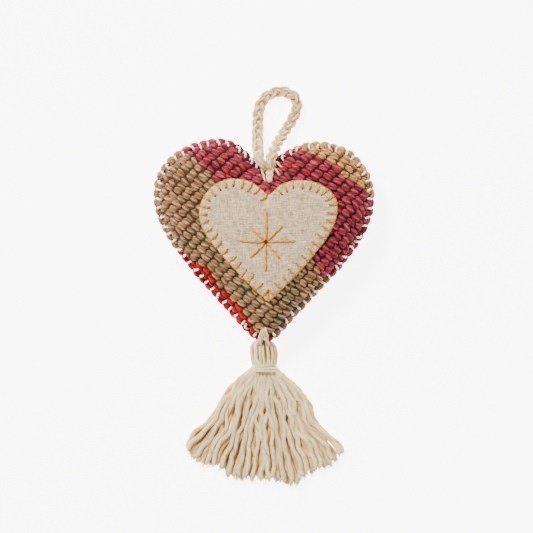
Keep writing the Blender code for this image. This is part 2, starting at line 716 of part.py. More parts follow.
def make_tie():
    """Yarn from the front of the heart's tip, over its rim and down to the head of the tassel."""
    half_yarn = 0.5 * TIE_YARN
    rim_out = EDGE_THREAD + CLEARANCE + half_yarn
    top = front_z(0.0, TIE_REACH) + EDGE_THREAD + 2 * CLEARANCE + half_yarn
    path = [(TIE_REACH, top),
            (0.0, SEAM_HEIGHT + RIM_BELLY + rim_out + half_yarn),
            (-rim_out, SEAM_HEIGHT + 0.5 * RIM_BELLY)]

    def section(u, t):
        y = np.interp(t, [0.0, 0.5, 1.0], [point[0] for point in path])
        z = np.interp(t, [0.0, 0.5, 1.0], [point[1] for point in path])
        return (0.5 * TIE_WIDTH * u, y, z, half_yarn)

    return strand_fan("tassel_tie", TIE_STRANDS, [0.0, 0.5, 0.9], [(1.0, 0.9)], section,
                      (0.72, 0.65, 0.5), 0.85)


def clear_scene():
    for item in list(bpy.data.objects):
        bpy.data.objects.remove(item, do_unlink=True)


def set_origin(pieces, cord):
    """Hangs every piece on one empty, so that the part without its cord stands over the origin."""
    low = np.array([math.inf] * 3)
    high = -low
    for piece in pieces:
        if piece is cord:
            continue
        for corner in piece.data.vertices:
            low = np.minimum(low, corner.co)
            high = np.maximum(high, corner.co)
    anchor = bpy.data.objects.new("ornament", None)
    bpy.context.scene.collection.objects.link(anchor)
    anchor.location = (-0.5 * (low[0] + high[0]), -0.5 * (low[1] + high[1]), -low[2])
    for piece in pieces:
        piece.parent = anchor


def main():
    clear_scene()
    loop = make_loop()
    pieces = [make_front(), make_back(), make_edge_stitches(), make_felt(), make_blanket(),
              make_star(), loop, make_loop_stitches(), make_tie(), make_tassel(), make_binding()]
    set_origin(pieces, loop)


main()
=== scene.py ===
"""Looks of the embroidered heart ornament, built round the solids of its CAD.

A stuffed heart of hand-woven wool in four stripes, whipped together round the rim with white yarn. On its
front lie a felt heart, edged in gold blanket stitch, and a gold star. A plaited cord makes the loop at the
cleft, and a tassel of soft yarn hangs at the tip. Lengths are in millimetres in the heart's own frame
(x = 0 on its axis, y = 0 at its tip, z = 0 on the floor) until a mesh is built."""

import math

import bmesh
import bpy
import numpy as np
from mathutils import Matrix, Vector
from mathutils.bvhtree import BVHTree


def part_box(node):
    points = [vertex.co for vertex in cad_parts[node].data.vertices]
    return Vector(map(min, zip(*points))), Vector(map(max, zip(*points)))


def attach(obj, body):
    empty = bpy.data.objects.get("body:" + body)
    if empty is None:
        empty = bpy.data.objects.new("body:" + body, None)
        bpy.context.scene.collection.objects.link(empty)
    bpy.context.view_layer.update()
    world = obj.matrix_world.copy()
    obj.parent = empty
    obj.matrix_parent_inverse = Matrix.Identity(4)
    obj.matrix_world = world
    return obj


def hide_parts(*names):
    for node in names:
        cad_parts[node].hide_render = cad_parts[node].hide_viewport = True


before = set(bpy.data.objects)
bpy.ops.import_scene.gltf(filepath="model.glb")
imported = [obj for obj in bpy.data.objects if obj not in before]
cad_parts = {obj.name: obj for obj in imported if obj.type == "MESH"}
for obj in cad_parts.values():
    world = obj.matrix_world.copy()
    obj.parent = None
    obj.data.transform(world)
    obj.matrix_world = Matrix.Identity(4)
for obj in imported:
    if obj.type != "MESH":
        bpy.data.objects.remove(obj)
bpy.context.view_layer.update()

MM = 0.001
TURN = 2 * math.pi
TINY = 1e-9
UP = (0.0, 0.0, 1.0)
DOWN = Vector((0.0, 0.0, -1.0))
RANDOM = np.random.default_rng(7)
FLOOR_GAP = 0.03

# Heart outline, with the sizes of the CAD
TIP_RADIUS = 8.0
CLEFT_HEIGHT = 80.7
CLEFT_RADIUS = 3.8
CLEFT_SLOPE = math.radians(45.0)
CLEFT_POINTS = 8
CURVE_POINTS = 24
TIP_POINTS = 10
LEFT_HALF = dict(lobe_x=21.8, lobe_y=93.6, side_x=51.3, side_y=68.0, cleft_reach=10.1, lobe_in=7.0,
                 lobe_out=9.0, side_up=19.0, side_down=16.0, flank_angle=44.0, flank_reach=48.0)
RIGHT_HALF = dict(lobe_x=25.3, lobe_y=91.9, side_x=50.8, side_y=66.4, cleft_reach=8.0, lobe_in=10.0,
                  lobe_out=16.0, side_up=13.3, side_down=22.0, flank_angle=42.0, flank_reach=34.0)
POLE = np.array([0.0, 48.0])
SEAM_HEIGHT = 10.0
CLEFT = np.array([0.0, CLEFT_HEIGHT, SEAM_HEIGHT])
RIM_BELLY = 2.6
DOME_RISE = 9.4
DOME_FULL_DISTANCE = 21.0
DOME_POWER_IN = 2.4
DOME_POWER_OUT = 1.4

# Whipping and the folds between its stitches
EDGE_STITCHES = 72
EDGE_THREAD = 0.94
STITCH_REACH = 6.7
STITCH_GROOVE = 0.95
RIM_LUMP = 1.3
RIM_LUMP_FADE = 4.0
FOLD_REACH = 4.5
FOLD_RISE = 1.5
FOLD_SHARE = 1.02
FOLD_LIFT = 0.1
FOLD_DIVE = -0.5
FOLD_TONES = (0.82, 1.16)
EDGE_JITTER = 0.15
WHIP_RIM = -0.6
WHIP_LOW = 0.1
WHIP_CROWN = 2.1

# Felt heart and its embroidery
FELT_TIP = np.array([1.8, 18.2])
FELT_TIP_RADIUS = 2.5
FELT_CLEFT_HEIGHT = 50.0
FELT_CLEFT_RADIUS = 1.5
FELT_MIDDLE = FELT_TIP + np.array([0.0, 30.0])
FELT_THICKNESS = 1.3
FELT_LEFT_HALF = dict(lobe_x=15.7, lobe_y=57.1, side_x=32.3, side_y=40.4, cleft_reach=5.0, lobe_in=7.0,
                      lobe_out=9.0, side_up=9.0, side_down=9.0, flank_angle=46.0, flank_reach=26.0)
FELT_RIGHT_HALF = dict(lobe_x=14.9, lobe_y=56.4, side_x=32.3, side_y=42.8, cleft_reach=5.0, lobe_in=7.0,
                       lobe_out=9.0, side_up=8.0, side_down=10.0, flank_angle=46.0, flank_reach=26.0)
BLANKET_STITCHES = 44
BLANKET_THREAD = 1.1
BLANKET_REACH = 3.9
STAR_CENTRE = np.array([0.7, 45.7])
STAR_THREAD = 1.02

# Hanging loop: the route of its middle from the cleft, with the points of the CAD
LOOP_ROUTE = [
    (2.9, 3.0, 8.6), (3.7, 5.4, 7.4), (5.3, 9.6, 3.0), (6.9, 12.6, -0.8), (8.5, 15.2, -3.8),
    (10.2, 18.0, -5.8), (12.0, 21.0, -6.9), (13.8, 24.2, -7.4), (15.0, 27.6, -7.5),
    (14.8, 31.0, -7.5), (12.9, 33.9, -7.5), (9.2, 35.3, -7.5), (5.2, 35.2, -7.5),
    (1.4, 33.4, -7.5), (-1.3, 30.4, -7.5), (-2.7, 26.4, -7.3), (-3.1, 21.4, -6.6),
    (-3.2, 16.6, -4.9), (-3.2, 12.4, -1.7), (-3.1, 9.0, 2.2), (-2.7, 5.2, 7.0), (-2.5, 3.0, 8.4),
]

# Tassel
TASSEL_TOP_DROP = 1.4
TASSEL_MIDDLE_HEIGHT = 5.7
HEAD_LENGTH = 9.0
HEAD_WIDTH = 12.6
HEAD_DEPTH = 11.2
WAIST_LENGTH = 3.6
WAIST_WIDTH = 8.4
WAIST_DEPTH = 7.0
WAIST_TOP = -(TASSEL_TOP_DROP + HEAD_LENGTH)

tassel_low, tassel_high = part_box("tassel")
ORIGIN = np.array([0.5 * (tassel_low.x + tassel_high.x) / MM, tassel_high.y / MM + TASSEL_TOP_DROP, 0.0])


def linear(red, green, blue):
    """A colour given on the screen's scale of 0 to 255, as the linear light that shaders take."""
    shares = np.array([red, green, blue]) / 255.0
    return np.where(shares <= 0.04045, shares / 12.92, ((shares + 0.055) / 1.055) ** 2.4)


# Yarn colours. CREAM_SHADE, GOLD_SHADE and the colours of the needle holes and of the ground between the
# beads are painted shade; the ground's green is also green yarn.
TAN = linear(131, 97, 67)
TAN_GREEN = linear(88, 90, 56)
RASPBERRY = linear(121, 37, 49)
PALE_ROSE = linear(168, 84, 76)
RED = linear(126, 8, 1)
GOLDEN_TAN = linear(160, 116, 67)
WHITE_THREAD = linear(236, 233, 226)
OATMEAL = linear(170, 146, 112)
OATMEAL_DARK = linear(116, 94, 66)
OATMEAL_PALE = linear(206, 184, 148)
GOLD_THREAD = linear(206, 146, 0)
GOLD_SHADE = linear(150, 84, 4)
CREAM = linear(211, 191, 146)
CREAM_SHADE = linear(146, 100, 48)
LUREX = linear(196, 134, 44)
HOLE_SHADE = linear(48, 22, 12)
WEAVE_SHADE = linear(56, 36, 20)
WEAVE_GREEN_SHADE = linear(40, 46, 26)

# Painted shade: shares of each colour that are left in grooves and on the shaded sides of yarns, and the
# powers that make darker shade warmer
SOFT_GROOVE_SHADE = np.array([0.84, 0.74, 0.58])
WARM_SIDE_SHADE = np.array([0.66, 0.44, 0.2])
DEEP_SIDE_SHADE = np.array([0.4, 0.24, 0.1])
WARM_SHADE = np.array([1.0, 1.22, 1.4])

# How each kind of yarn is twisted, and the colour of the painted shade in its grooves
PLIED = dict(plies=3, ply_depth=0.09, groove_shade=CREAM_SHADE * 1.15)
SOFT = dict(plies=2, ply_depth=0.08)
PLAIN = dict(plies=0, ply_depth=0.0)
GOLD_TWIST = dict(plies=2, ply_depth=0.12, pitch=2.0, groove_shade=GOLD_SHADE, blunt=0.9)


# Geometry tools
def unit(vectors):
    return vectors / np.maximum(np.linalg.norm(vectors, axis=-1, keepdims=True), TINY)


def circle(count):
    """Angles at even steps round a circle."""
    return np.arange(count) * TURN / count


def path_lengths(path):
    return np.concatenate([[0.0], np.cumsum(np.linalg.norm(np.diff(path, axis=0), axis=1))])


def read_along(path, lengths, wanted):
    """Points of a path at the wanted lengths."""
    return np.stack([np.interp(wanted, lengths, values) for values in path.T], axis=-1)


def bezier(start, out, back, end):
    """Points of a cubic curve, without its last one."""
    t = np.linspace(0.0, 1.0, CURVE_POINTS, endpoint=False)[:, None]
    return ((1 - t) ** 3 * start + 3 * (1 - t) ** 2 * t * out
            + 3 * (1 - t) * t ** 2 * back + t ** 3 * end)


def half_heart(half, cleft_height, cleft_radius, tip_radius):
    """One half of a heart, from the cleft over the lobe and down the flank to the tip."""
    round_cleft = np.linspace(0.0, CLEFT_SLOPE, CLEFT_POINTS, endpoint=False)
    cleft_arc = np.stack([np.sin(round_cleft), 1.0 - np.cos(round_cleft)], axis=1)
    cleft_arc = cleft_radius * cleft_arc + np.array([0.0, cleft_height])
    out_of_cleft = np.array([math.cos(CLEFT_SLOPE), math.sin(CLEFT_SLOPE)])
    cleft = np.array([0.0, cleft_height + cleft_radius])
    cleft += cleft_radius * np.array([math.sin(CLEFT_SLOPE), -math.cos(CLEFT_SLOPE)])
    lobe = np.array([half["lobe_x"], half["lobe_y"]])
    side = np.array([half["side_x"], half["side_y"]])
    angle = math.radians(half["flank_angle"])
    flank = tip_radius * np.array([math.cos(angle), 1.0 - math.sin(angle)])
    up_flank = np.array([math.sin(angle), math.cos(angle)])
    right = np.array([1.0, 0.0])
    up = np.array([0.0, 1.0])
    turn = np.linspace(-angle, -math.pi / 2, TIP_POINTS, endpoint=False)
    return np.vstack([
        cleft_arc,
        bezier(cleft, cleft + half["cleft_reach"] * out_of_cleft, lobe - half["lobe_in"] * right, lobe),
        bezier(lobe, lobe + half["lobe_out"] * right, side + half["side_up"] * up, side),
        bezier(side, side - half["side_down"] * up, flank + half["flank_reach"] * up_flank, flank),
        np.stack([tip_radius * np.cos(turn), tip_radius * (1 + np.sin(turn))], axis=1),
    ])


class Outline:
    """A closed outline, anticlockwise from the tip, that can be read at any lengths along it."""

    def __init__(self, left, right, cleft_height, cleft_radius, tip_radius, tip):
        right_side = half_heart(right, cleft_height, cleft_radius, tip_radius)[::-1]
        left_side = half_heart(left, cleft_height, cleft_radius, tip_radius) * np.array([-1.0, 1.0])
        points = np.vstack([[[0.0, 0.0]], right_side, left_side[1:]]) + tip
        self.closed = np.vstack([points, points[:1]])
        self.lengths = path_lengths(self.closed)
        self.total = self.lengths[-1]

    def even(self, count):
        """Lengths at even steps round the whole outline."""
        return np.arange(count) * self.total / count

    def read(self, lengths):
        return read_along(self.closed, self.lengths, np.asarray(lengths, float) % self.total)

    def inward(self, lengths, probe=0.8):
        """Unit vectors that point in from the outline."""
        along = unit(self.read(np.asarray(lengths) + probe) - self.read(np.asarray(lengths) - probe))
        return np.stack([-along[..., 1], along[..., 0]], axis=-1)

    def at(self, lengths, inset=0.0):
        inset = np.broadcast_to(inset, np.shape(lengths))
        return self.read(lengths) + inset[..., None] * self.inward(lengths)


HEART = Outline(LEFT_HALF, RIGHT_HALF, CLEFT_HEIGHT, CLEFT_RADIUS, TIP_RADIUS, np.zeros(2))
FELT = Outline(FELT_LEFT_HALF, FELT_RIGHT_HALF, FELT_CLEFT_HEIGHT, FELT_CLEFT_RADIUS, FELT_TIP_RADIUS,
               FELT_TIP)
EDGE_PITCH = HEART.total / EDGE_STITCHES
BLANKET_PITCH = FELT.total / BLANKET_STITCHES


def smooth_path(points, spacing, steps=12):
    """A smooth curve through the points, read at even steps."""
    route = np.array(points, float)
    route = np.vstack([2 * route[0] - route[1], route, 2 * route[-1] - route[-2]])
    pieces = []
    t = np.linspace(0.0, 1.0, steps, endpoint=False)[:, None]
    for before, start, end, after in zip(route, route[1:], route[2:], route[3:]):
        pieces.append(0.5 * (2 * start + (end - before) * t
                             + (2 * before - 5 * start + 4 * end - after) * t ** 2
                             + (3 * start - before - 3 * end + after) * t ** 3))
    pieces.append(route[-2:-1])
    curve = np.vstack(pieces)
    lengths = path_lengths(curve)
    wanted = np.linspace(0.0, lengths[-1], max(3, int(round(lengths[-1] / spacing)) + 1))
    return read_along(curve, lengths, wanted)


def frames_along(path, reference):
    """Two directions square to a path: its side, and what is up for it."""
    tangents = unit(np.gradient(path, axis=0))
    side = unit(np.cross(tangents, np.broadcast_to(reference, path.shape)))
    return side, np.cross(side, tangents)


def wound(path, angle, radius, flat=1.0):
    """A route that winds round a path."""
    side, up = frames_along(path, UP)
    ring = np.cos(angle)[:, None] * side + flat * np.sin(angle)[:, None] * up
    return path + np.asarray(radius)[..., None] * ring


def add_object(name, data):
    made = bpy.data.objects.new(name, data)
    bpy.context.scene.collection.objects.link(made)
    return made


class Bag:
    """Collects meshes that become one piece. Each vertex has a colour and a place in its own yarn."""

    def __init__(self):
        self.points = []
        self.faces = []
        self.tints = []
        self.grains = []
        self.count = 0

    def add(self, points, faces, tints, grains):
        points = np.asarray(points, float).reshape(-1, 3)
        self.points.append(points)
        self.faces.append(np.asarray(faces, int).reshape(-1, 4) + self.count)
        self.tints.append(np.broadcast_to(np.reshape(tints, (-1, 3)), points.shape))
        self.grains.append(np.broadcast_to(np.reshape(grains, (-1, 3)), points.shape))
        self.count += len(points)

    def build(self, name, material, replaces=()):
        points = np.vstack(self.points) + ORIGIN
        points[:, 2] = np.maximum(points[:, 2], FLOOR_GAP)
        faces = [tuple(dict.fromkeys(face)) for face in np.vstack(self.faces).tolist()]
        mesh = bpy.data.meshes.new(name)
        mesh.from_pydata((points * MM).tolist(), [], [face for face in faces if len(face) > 2])
        mesh.validate()
        mesh.shade_smooth()
        colours = np.column_stack([np.vstack(self.tints), np.ones(self.count)])
        tint = mesh.attributes.new("tint", "FLOAT_COLOR", "POINT")
        tint.data.foreach_set("color", colours.astype(np.float32).ravel())
        grain = mesh.attributes.new("grain", "FLOAT_VECTOR", "POINT")
        grain.data.foreach_set("vector", np.vstack(self.grains).astype(np.float32).ravel())
        piece = add_object(name, mesh)
        mesh.materials.append(material)
        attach(piece, "root")
        if replaces:
            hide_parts(*replaces)
        return piece


def grid_faces(rows, columns, closed_columns=True):
    """Quads of a grid of points, row after row."""
    row = np.arange(rows - 1)[:, None]
    column = np.arange(columns if closed_columns else columns - 1)[None, :]
    a = row * columns + column
    b = row * columns + (column + 1) % columns
    return np.stack([a, b, b + columns, a + columns], axis=-1).reshape(-1, 4)


GROOVE_SHADE_SHARE = 0.55
GROOVE_SOFTNESS = 0.7
PLY_MIDDLE = 0.4
END_LEAST = 0.02
UNDER_POWER = 1.7
BELOW_REACH = 1.6
GRAIN_SLANT = 0.6
SEEDS = 100.0


def add_yarn(bag, path, radius, colour, reference=UP, sides=9, plies=3, ply_depth=0.16, pitch=6.0, taper=0.0,
             flat=1.0, groove_shade=None, blunt=0.6, under=1.0, below=None):
    """A twisted yarn along a path. Its grooves are darkened as painted shade, its ends close in a dome, and
    what turns away from the reference gets painted shade by the shares in under, or takes the colour given
    as below."""
    path = np.asarray(path, float)
    lengths = path_lengths(path)
    side, up = frames_along(path, reference)
    phase = RANDOM.uniform(0.0, TURN)
    seed = RANDOM.uniform(0.0, SEEDS)
    around = circle(sides)
    lobes = np.cos(plies * around - min(plies, 1) * (lengths[:, None] * TURN / pitch + phase))
    swell = 1.0 + ply_depth * (lobes - PLY_MIDDLE)
    ends = np.minimum(lengths, lengths[-1] - lengths)
    close = np.clip(ends / (blunt * radius + TINY), 0.0, 1.0)
    radii = radius * np.sqrt(np.clip(1.0 - (1.0 - close) ** 2, END_LEAST, 1.0))
    radii = radii * (1.0 - taper * (lengths / lengths[-1]) ** 3)
    rings = (radii[:, None] * swell)[..., None]
    points = path[:, None] + rings * (np.cos(around)[:, None] * side[:, None]
                                      + flat * np.sin(around)[:, None] * up[:, None])
    # Painted shade: the grooves between the plies darken towards the groove colour.
    shade = np.clip(0.5 + 0.5 * lobes, 0.0, 1.0)[..., None] ** GROOVE_SOFTNESS
    groove = colour * GROOVE_SHADE_SHARE if groove_shade is None else groove_shade
    tints = groove * (1.0 - shade) + colour * shade
    # Painted shade on the side that turns away from the reference.
    low = np.clip(1.0 - np.sin(around), 0.0, 1.0)[:, None] ** UNDER_POWER
    tints = tints * (1.0 - low * (1.0 - under))
    if below is not None:
        low = np.clip(-BELOW_REACH * np.sin(around), 0.0, 1.0)[:, None]
        tints = tints * (1.0 - low) + below * (0.75 + 0.25 * shade) * low
    slant = around * np.max(radii) - lengths[:, None] * GRAIN_SLANT
    grains = np.stack(np.broadcast_arrays(lengths[:, None], slant, seed), axis=-1)
    bag.add(points, grid_faces(len(path), sides), tints, grains)


def noise_wave(t, scale, amount, finer=1.7, fainter=1.8):
    """A smooth random wander along t, of a long wave and a shorter one."""
    waves = ((scale, amount), (scale / finer, amount / fainter))
    return sum(size * np.sin(t * TURN / step + RANDOM.uniform(0, TURN)) for step, size in waves)


# Materials
def set_inputs(tree, node, inputs):
    """Gives each input of a node its value, or joins it to another node's output."""
    for key, value in inputs.items():
        if isinstance(value, bpy.types.NodeSocket):
            tree.links.new(value, node.inputs[key])
        else:
            node.inputs[key].default_value = value


def add_node(tree, kind, inputs, output, **settings):
    """Adds a node and returns one of its outputs."""
    node = tree.nodes.new("ShaderNode" + kind)
    for name, value in settings.items():
        setattr(node, name, value)
    set_inputs(tree, node, inputs)
    return node.outputs[output]


def new_material(name, roughness, sheen=0.0, metallic=0.0, specular=0.25):
    material = bpy.data.materials.new(name)
    material.use_nodes = True
    tree = material.node_tree
    shader = tree.nodes["Principled BSDF"]
    set_inputs(tree, shader, {"Roughness": roughness, "Metallic": metallic, "Sheen Weight": sheen,
                              "Sheen Roughness": 0.6, "Specular IOR Level": specular})
    return material, tree, shader


def dress(tree, shader, colour, height, strength, distance):
    """Gives a shader its colour and its fine relief."""
    relief = add_node(tree, "Bump", {"Strength": strength, "Distance": distance, "Height": height}, "Normal")
    set_inputs(tree, shader, {"Base Color": colour, "Normal": relief})


def yarn_material(name, roughness, sheen, contrast, along=0.5, across=3.2, bump=0.25, metallic=0.0,
                  specular=0.25):
    """Yarn: the vertex tint, streaked along its fibres, which also stand out in the relief."""
    material, tree, shader = new_material(name, roughness, sheen, metallic, specular)
    place = add_node(tree, "Attribute", {}, "Vector", attribute_name="grain")
    drawn = add_node(tree, "VectorMath", {0: place, 1: (along, across, 1.0)}, 0, operation="MULTIPLY")
    fibres = add_node(tree, "TexNoise", {"Vector": drawn, "Scale": 1.0, "Detail": 3.0, "Roughness": 0.6},
                      "Fac")
    spread = add_node(tree, "MapRange", {"Value": fibres, "From Min": 0.3, "From Max": 0.7,
                                         "To Min": 1.0 - contrast, "To Max": 1.0 + contrast}, "Result")
    tint = add_node(tree, "Attribute", {}, "Color", attribute_name="tint")
    streaked = add_node(tree, "VectorMath", {0: tint, "Scale": spread}, 0, operation="SCALE")
    dress(tree, shader, streaked, fibres, bump, 0.0002)
    return material


WOOL = yarn_material("striped_wool", 0.9, 0.03, 0.7, along=0.7, across=2.5, bump=0.5, specular=0.08)
THREAD = yarn_material("white_cotton", 0.75, 0.1, 0.12)
CREAM_YARN = yarn_material("cream_yarn", 0.85, 0.2, 0.22)
GOLD = yarn_material("gold_thread", 0.42, 0.0, 0.2, along=0.4, across=5.0, specular=0.22)
LUREX_FILM = yarn_material("lurex", 0.28, 0.0, 0.3, metallic=0.9)
SLUB_SCALES = ((1900.0, 260.0, 1.0), (260.0, 1900.0, 1.0))


def felt_material():
    """Wool felt: mottled oatmeal with slubs both ways, and fine fleece over it."""
    material, tree, shader = new_material("oatmeal_felt", 0.95, 0.35)
    place = add_node(tree, "TexCoord", {}, "Object")
    mottle = add_node(tree, "TexNoise", {"Vector": place, "Scale": 480.0, "Detail": 6.0, "Roughness": 0.75,
                                         "Distortion": 1.4}, "Fac")
    total = add_node(tree, "Math", {0: mottle, 1: 0.4}, 0, operation="MULTIPLY")
    for scales in SLUB_SCALES:
        drawn = add_node(tree, "VectorMath", {0: place, 1: scales}, 0, operation="MULTIPLY")
        slubs = add_node(tree, "TexNoise", {"Vector": drawn, "Scale": 1.0, "Detail": 2.0}, "Fac")
        total = add_node(tree, "Math", {0: slubs, 1: 0.3, 2: total}, 0, operation="MULTIPLY_ADD")
    colour = add_node(tree, "ValToRGB", {"Fac": total}, "Color")
    tones = colour.node.color_ramp.elements
    tones[0].position = 0.4
    tones[0].color = (*OATMEAL_DARK, 1.0)
    tones[1].position = 0.6
    tones[1].color = (*OATMEAL_PALE, 1.0)
    tones.new(0.5).color = (*OATMEAL, 1.0)
    fleece = add_node(tree, "TexNoise", {"Vector": place, "Scale": 1500.0, "Detail": 4.0, "Distortion": 2.5},
                      "Fac")
    dress(tree, shader, colour, fleece, 0.55, 0.0003)
    return material


# Camera: straight down on the ornament as it lies, over the middle of the picture
PICTURE_CENTRE = (0.92, 34.63)
PICTURE_SPAN = 246.1
FOCUS_HEIGHT = 12.0
LENS = 135.0
SENSOR = 36.0
camera_data = bpy.data.cameras.new("camera")
camera_data.lens = LENS
camera_data.sensor_width = SENSOR
camera = add_object("camera", camera_data)
camera.location = ((PICTURE_CENTRE[0] + ORIGIN[0]) * MM, (PICTURE_CENTRE[1] + ORIGIN[1]) * MM,
                   (FOCUS_HEIGHT + PICTURE_SPAN * LENS / SENSOR) * MM)
bpy.context.scene.camera = camera


# Hanging loop: a flat three-strand plait of plied yarn with lurex wound round each strand, over a dark core
# of painted shade
PLAIT_PITCH = 13.6
PLAIT_REACH = 1.6
PLAIT_RISE = 0.8
PLAIT_STRANDS = 3
STRAND_RADIUS = 1.12
STRAND_FLAT = 0.86
STRAND_TWIST = 9.0
PLAIT_SHADE_CORE = 1.0
PLAIT_LUREX = 0.15


def make_loop():
    route = smooth_path(np.array(LOOP_ROUTE) + CLEFT, 0.45)
    lengths = path_lengths(route)
    side, up = frames_along(route, UP)
    bag = Bag()
    shine = Bag()
    for strand in range(PLAIT_STRANDS):
        turn = TURN * lengths / PLAIT_PITCH + TURN * strand / PLAIT_STRANDS
        middle = (route + (PLAIT_REACH * np.sin(turn))[:, None] * side
                  + (PLAIT_RISE * np.sin(2 * turn))[:, None] * up)
        tone = RANDOM.uniform(0.94, 1.04)
        add_yarn(bag, middle, STRAND_RADIUS, CREAM * tone, sides=16, pitch=STRAND_TWIST, flat=STRAND_FLAT,
                 **PLIED)
        angle = TURN * lengths / STRAND_TWIST + noise_wave(lengths, 23.0, 0.6)
        thread = wound(middle, angle, STRAND_RADIUS, STRAND_FLAT)
        add_yarn(shine, thread, PLAIT_LUREX, LUREX, sides=4, **PLAIN)
    # The dark core: painted shade that shows in the valleys between the strands.
    add_yarn(bag, route, PLAIT_SHADE_CORE, CREAM_SHADE, sides=8, **PLAIN)
    loop = bag.build("plaited_loop", CREAM_YARN, ["hanging_loop"])
    lurex = shine.build("plait_lurex", LUREX_FILM)


make_loop()


# Cushion: a closed skin in the heart's shape, swollen by a short cloth run, then read as a polar table
SKIN_INSET = 0.2
SKIN_DROP = 0.9
BACK_DROP = 1.3
RIM_SAMPLES = 900
RIM_LENGTHS = HEART.even(RIM_SAMPLES)
RIM_POINTS = HEART.read(RIM_LENGTHS)
RIM_STEP = HEART.total / RIM_SAMPLES


def dome_height(points):
    """Height of the cushion over the seam, by the CAD's rule: it grows with the distance from the rim."""
    gaps = np.linalg.norm(points[:, None, :] - RIM_POINTS[None, :, :], axis=2)
    pull = np.sum(RIM_STEP / np.maximum(gaps, 0.5 * RIM_STEP) ** 3, axis=1)
    share = np.minimum((0.5 * pull) ** -0.5 / DOME_FULL_DISTANCE, 1.0)
    full = (1.0 - (1.0 - share) ** DOME_POWER_IN) ** (1.0 / DOME_POWER_OUT)
    return RIM_BELLY + DOME_RISE * full


# The start skin's rings: insets and heights of those at the seam, and shares of the way in of the others
START_COLUMNS = 360
START_EDGE = ((0.0, 0.0), (0.25, 1.3), (1.2, 2.7))
START_SHARES = (0.06, 0.1, 0.16, 0.24, 0.34, 0.46, 0.6, 0.76, 0.9)


def start_skin():
    """The skin before it swells: rings from the seam to the pole on the front, and the same on the back."""
    lengths = HEART.even(START_COLUMNS)
    seam = HEART.at(lengths, SKIN_INSET)
    rings = [(HEART.at(lengths, SKIN_INSET + inset), np.full(START_COLUMNS, level))
             for inset, level in START_EDGE]
    for share in START_SHARES:
        plan = POLE + (seam - POLE) * (1.0 - share)
        rings.append((plan, dome_height(plan) - SKIN_DROP))
    front = [np.column_stack([plan, SEAM_HEIGHT + height]) for plan, height in rings]
    back = [np.column_stack([plan, np.maximum(SEAM_HEIGHT - height, BACK_DROP)]) for plan, height in rings]
    rows = back[::-1] + front[1:]
    points = np.vstack(rows)
    caps = [list(range(START_COLUMNS))[::-1], list(range(len(points) - START_COLUMNS, len(points)))]
    mesh = bpy.data.meshes.new("start_skin")
    mesh.from_pydata(points.tolist(), [], grid_faces(len(rows), START_COLUMNS).tolist() + caps)
    work = bmesh.new()
    work.from_mesh(mesh)
    bmesh.ops.recalc_face_normals(work, faces=work.faces[:])
    work.to_mesh(mesh)
    work.free()
    return mesh


SWELL_SCALE = 0.01
SWELL_VOXEL = 0.024
SWELL_CAP = 1.1
SWELL_PRESSURE = 4.0
SWELL_FRAMES = 20
SWELL_SHARES = np.array([0.1, 0.1, 1.0])


def vertex_places(item):
    places = np.zeros(len(item.data.vertices) * 3)
    item.data.vertices.foreach_get("co", places)
    return places.reshape(-1, 3)


def swollen_skin():
    """The skin after a short cloth run with pressure inside and no gravity, laid flat on the floor. Its
    whipped seam hardly gives, so its plan stays as it was."""
    mesh = start_skin()
    mesh.transform(Matrix.Scale(SWELL_SCALE, 4))
    skin = add_object("swelling", mesh)
    bpy.context.view_layer.objects.active = skin
    remesh = skin.modifiers.new("remesh", "REMESH")
    remesh.mode = "VOXEL"
    remesh.voxel_size = SWELL_VOXEL
    bpy.ops.object.modifier_apply(modifier=remesh.name)
    before = vertex_places(skin)
    cloth = skin.modifiers.new("cloth", "CLOTH")
    cloth.settings.use_pressure = True
    cloth.settings.uniform_pressure_force = SWELL_PRESSURE
    cloth.settings.effector_weights.gravity = 0.0
    for number in range(1, SWELL_FRAMES + 1):
        bpy.context.scene.frame_set(number)
    bpy.ops.object.modifier_apply(modifier=cloth.name)
    bpy.context.scene.frame_set(1)
    moved = (vertex_places(skin) - before) * SWELL_SHARES
    far = np.linalg.norm(moved, axis=1, keepdims=True)
    cap = SWELL_CAP * SWELL_SCALE
    places = (before + moved * np.minimum(1.0, cap / np.maximum(far, TINY))) / SWELL_SCALE
    places[:, 2] = np.maximum(places[:, 2], BACK_DROP)
    skin.data.calc_loop_triangles()
    triangles = [tuple(triangle.vertices) for triangle in skin.data.loop_triangles]
    tree = BVHTree.FromPolygons([tuple(place) for place in places], triangles)
    bpy.data.objects.remove(skin)
    return tree


SKIN = swollen_skin()
COLUMNS = 1440
STEPS = 96
EVEN_STEPS = np.linspace(0.0, 1.0, STEPS + 1)
RAY_SHARES = np.concatenate([np.linspace(0.0, 0.88, 40), np.linspace(0.89, 1.0, 30)])
EDGE_SHARE = 0.97
EDGE_RISE = 3.0


def ray_height(plan, share):
    """The height that a ray aims at: the dome, or near the seam a round edge."""
    if share < EDGE_SHARE:
        return np.maximum(dome_height(plan), 0.0)
    round_share = (share - EDGE_SHARE) / (1.0 - EDGE_SHARE)
    return np.full(len(plan), EDGE_RISE * math.sqrt(max(0.0, 1.0 - round_share ** 2)))


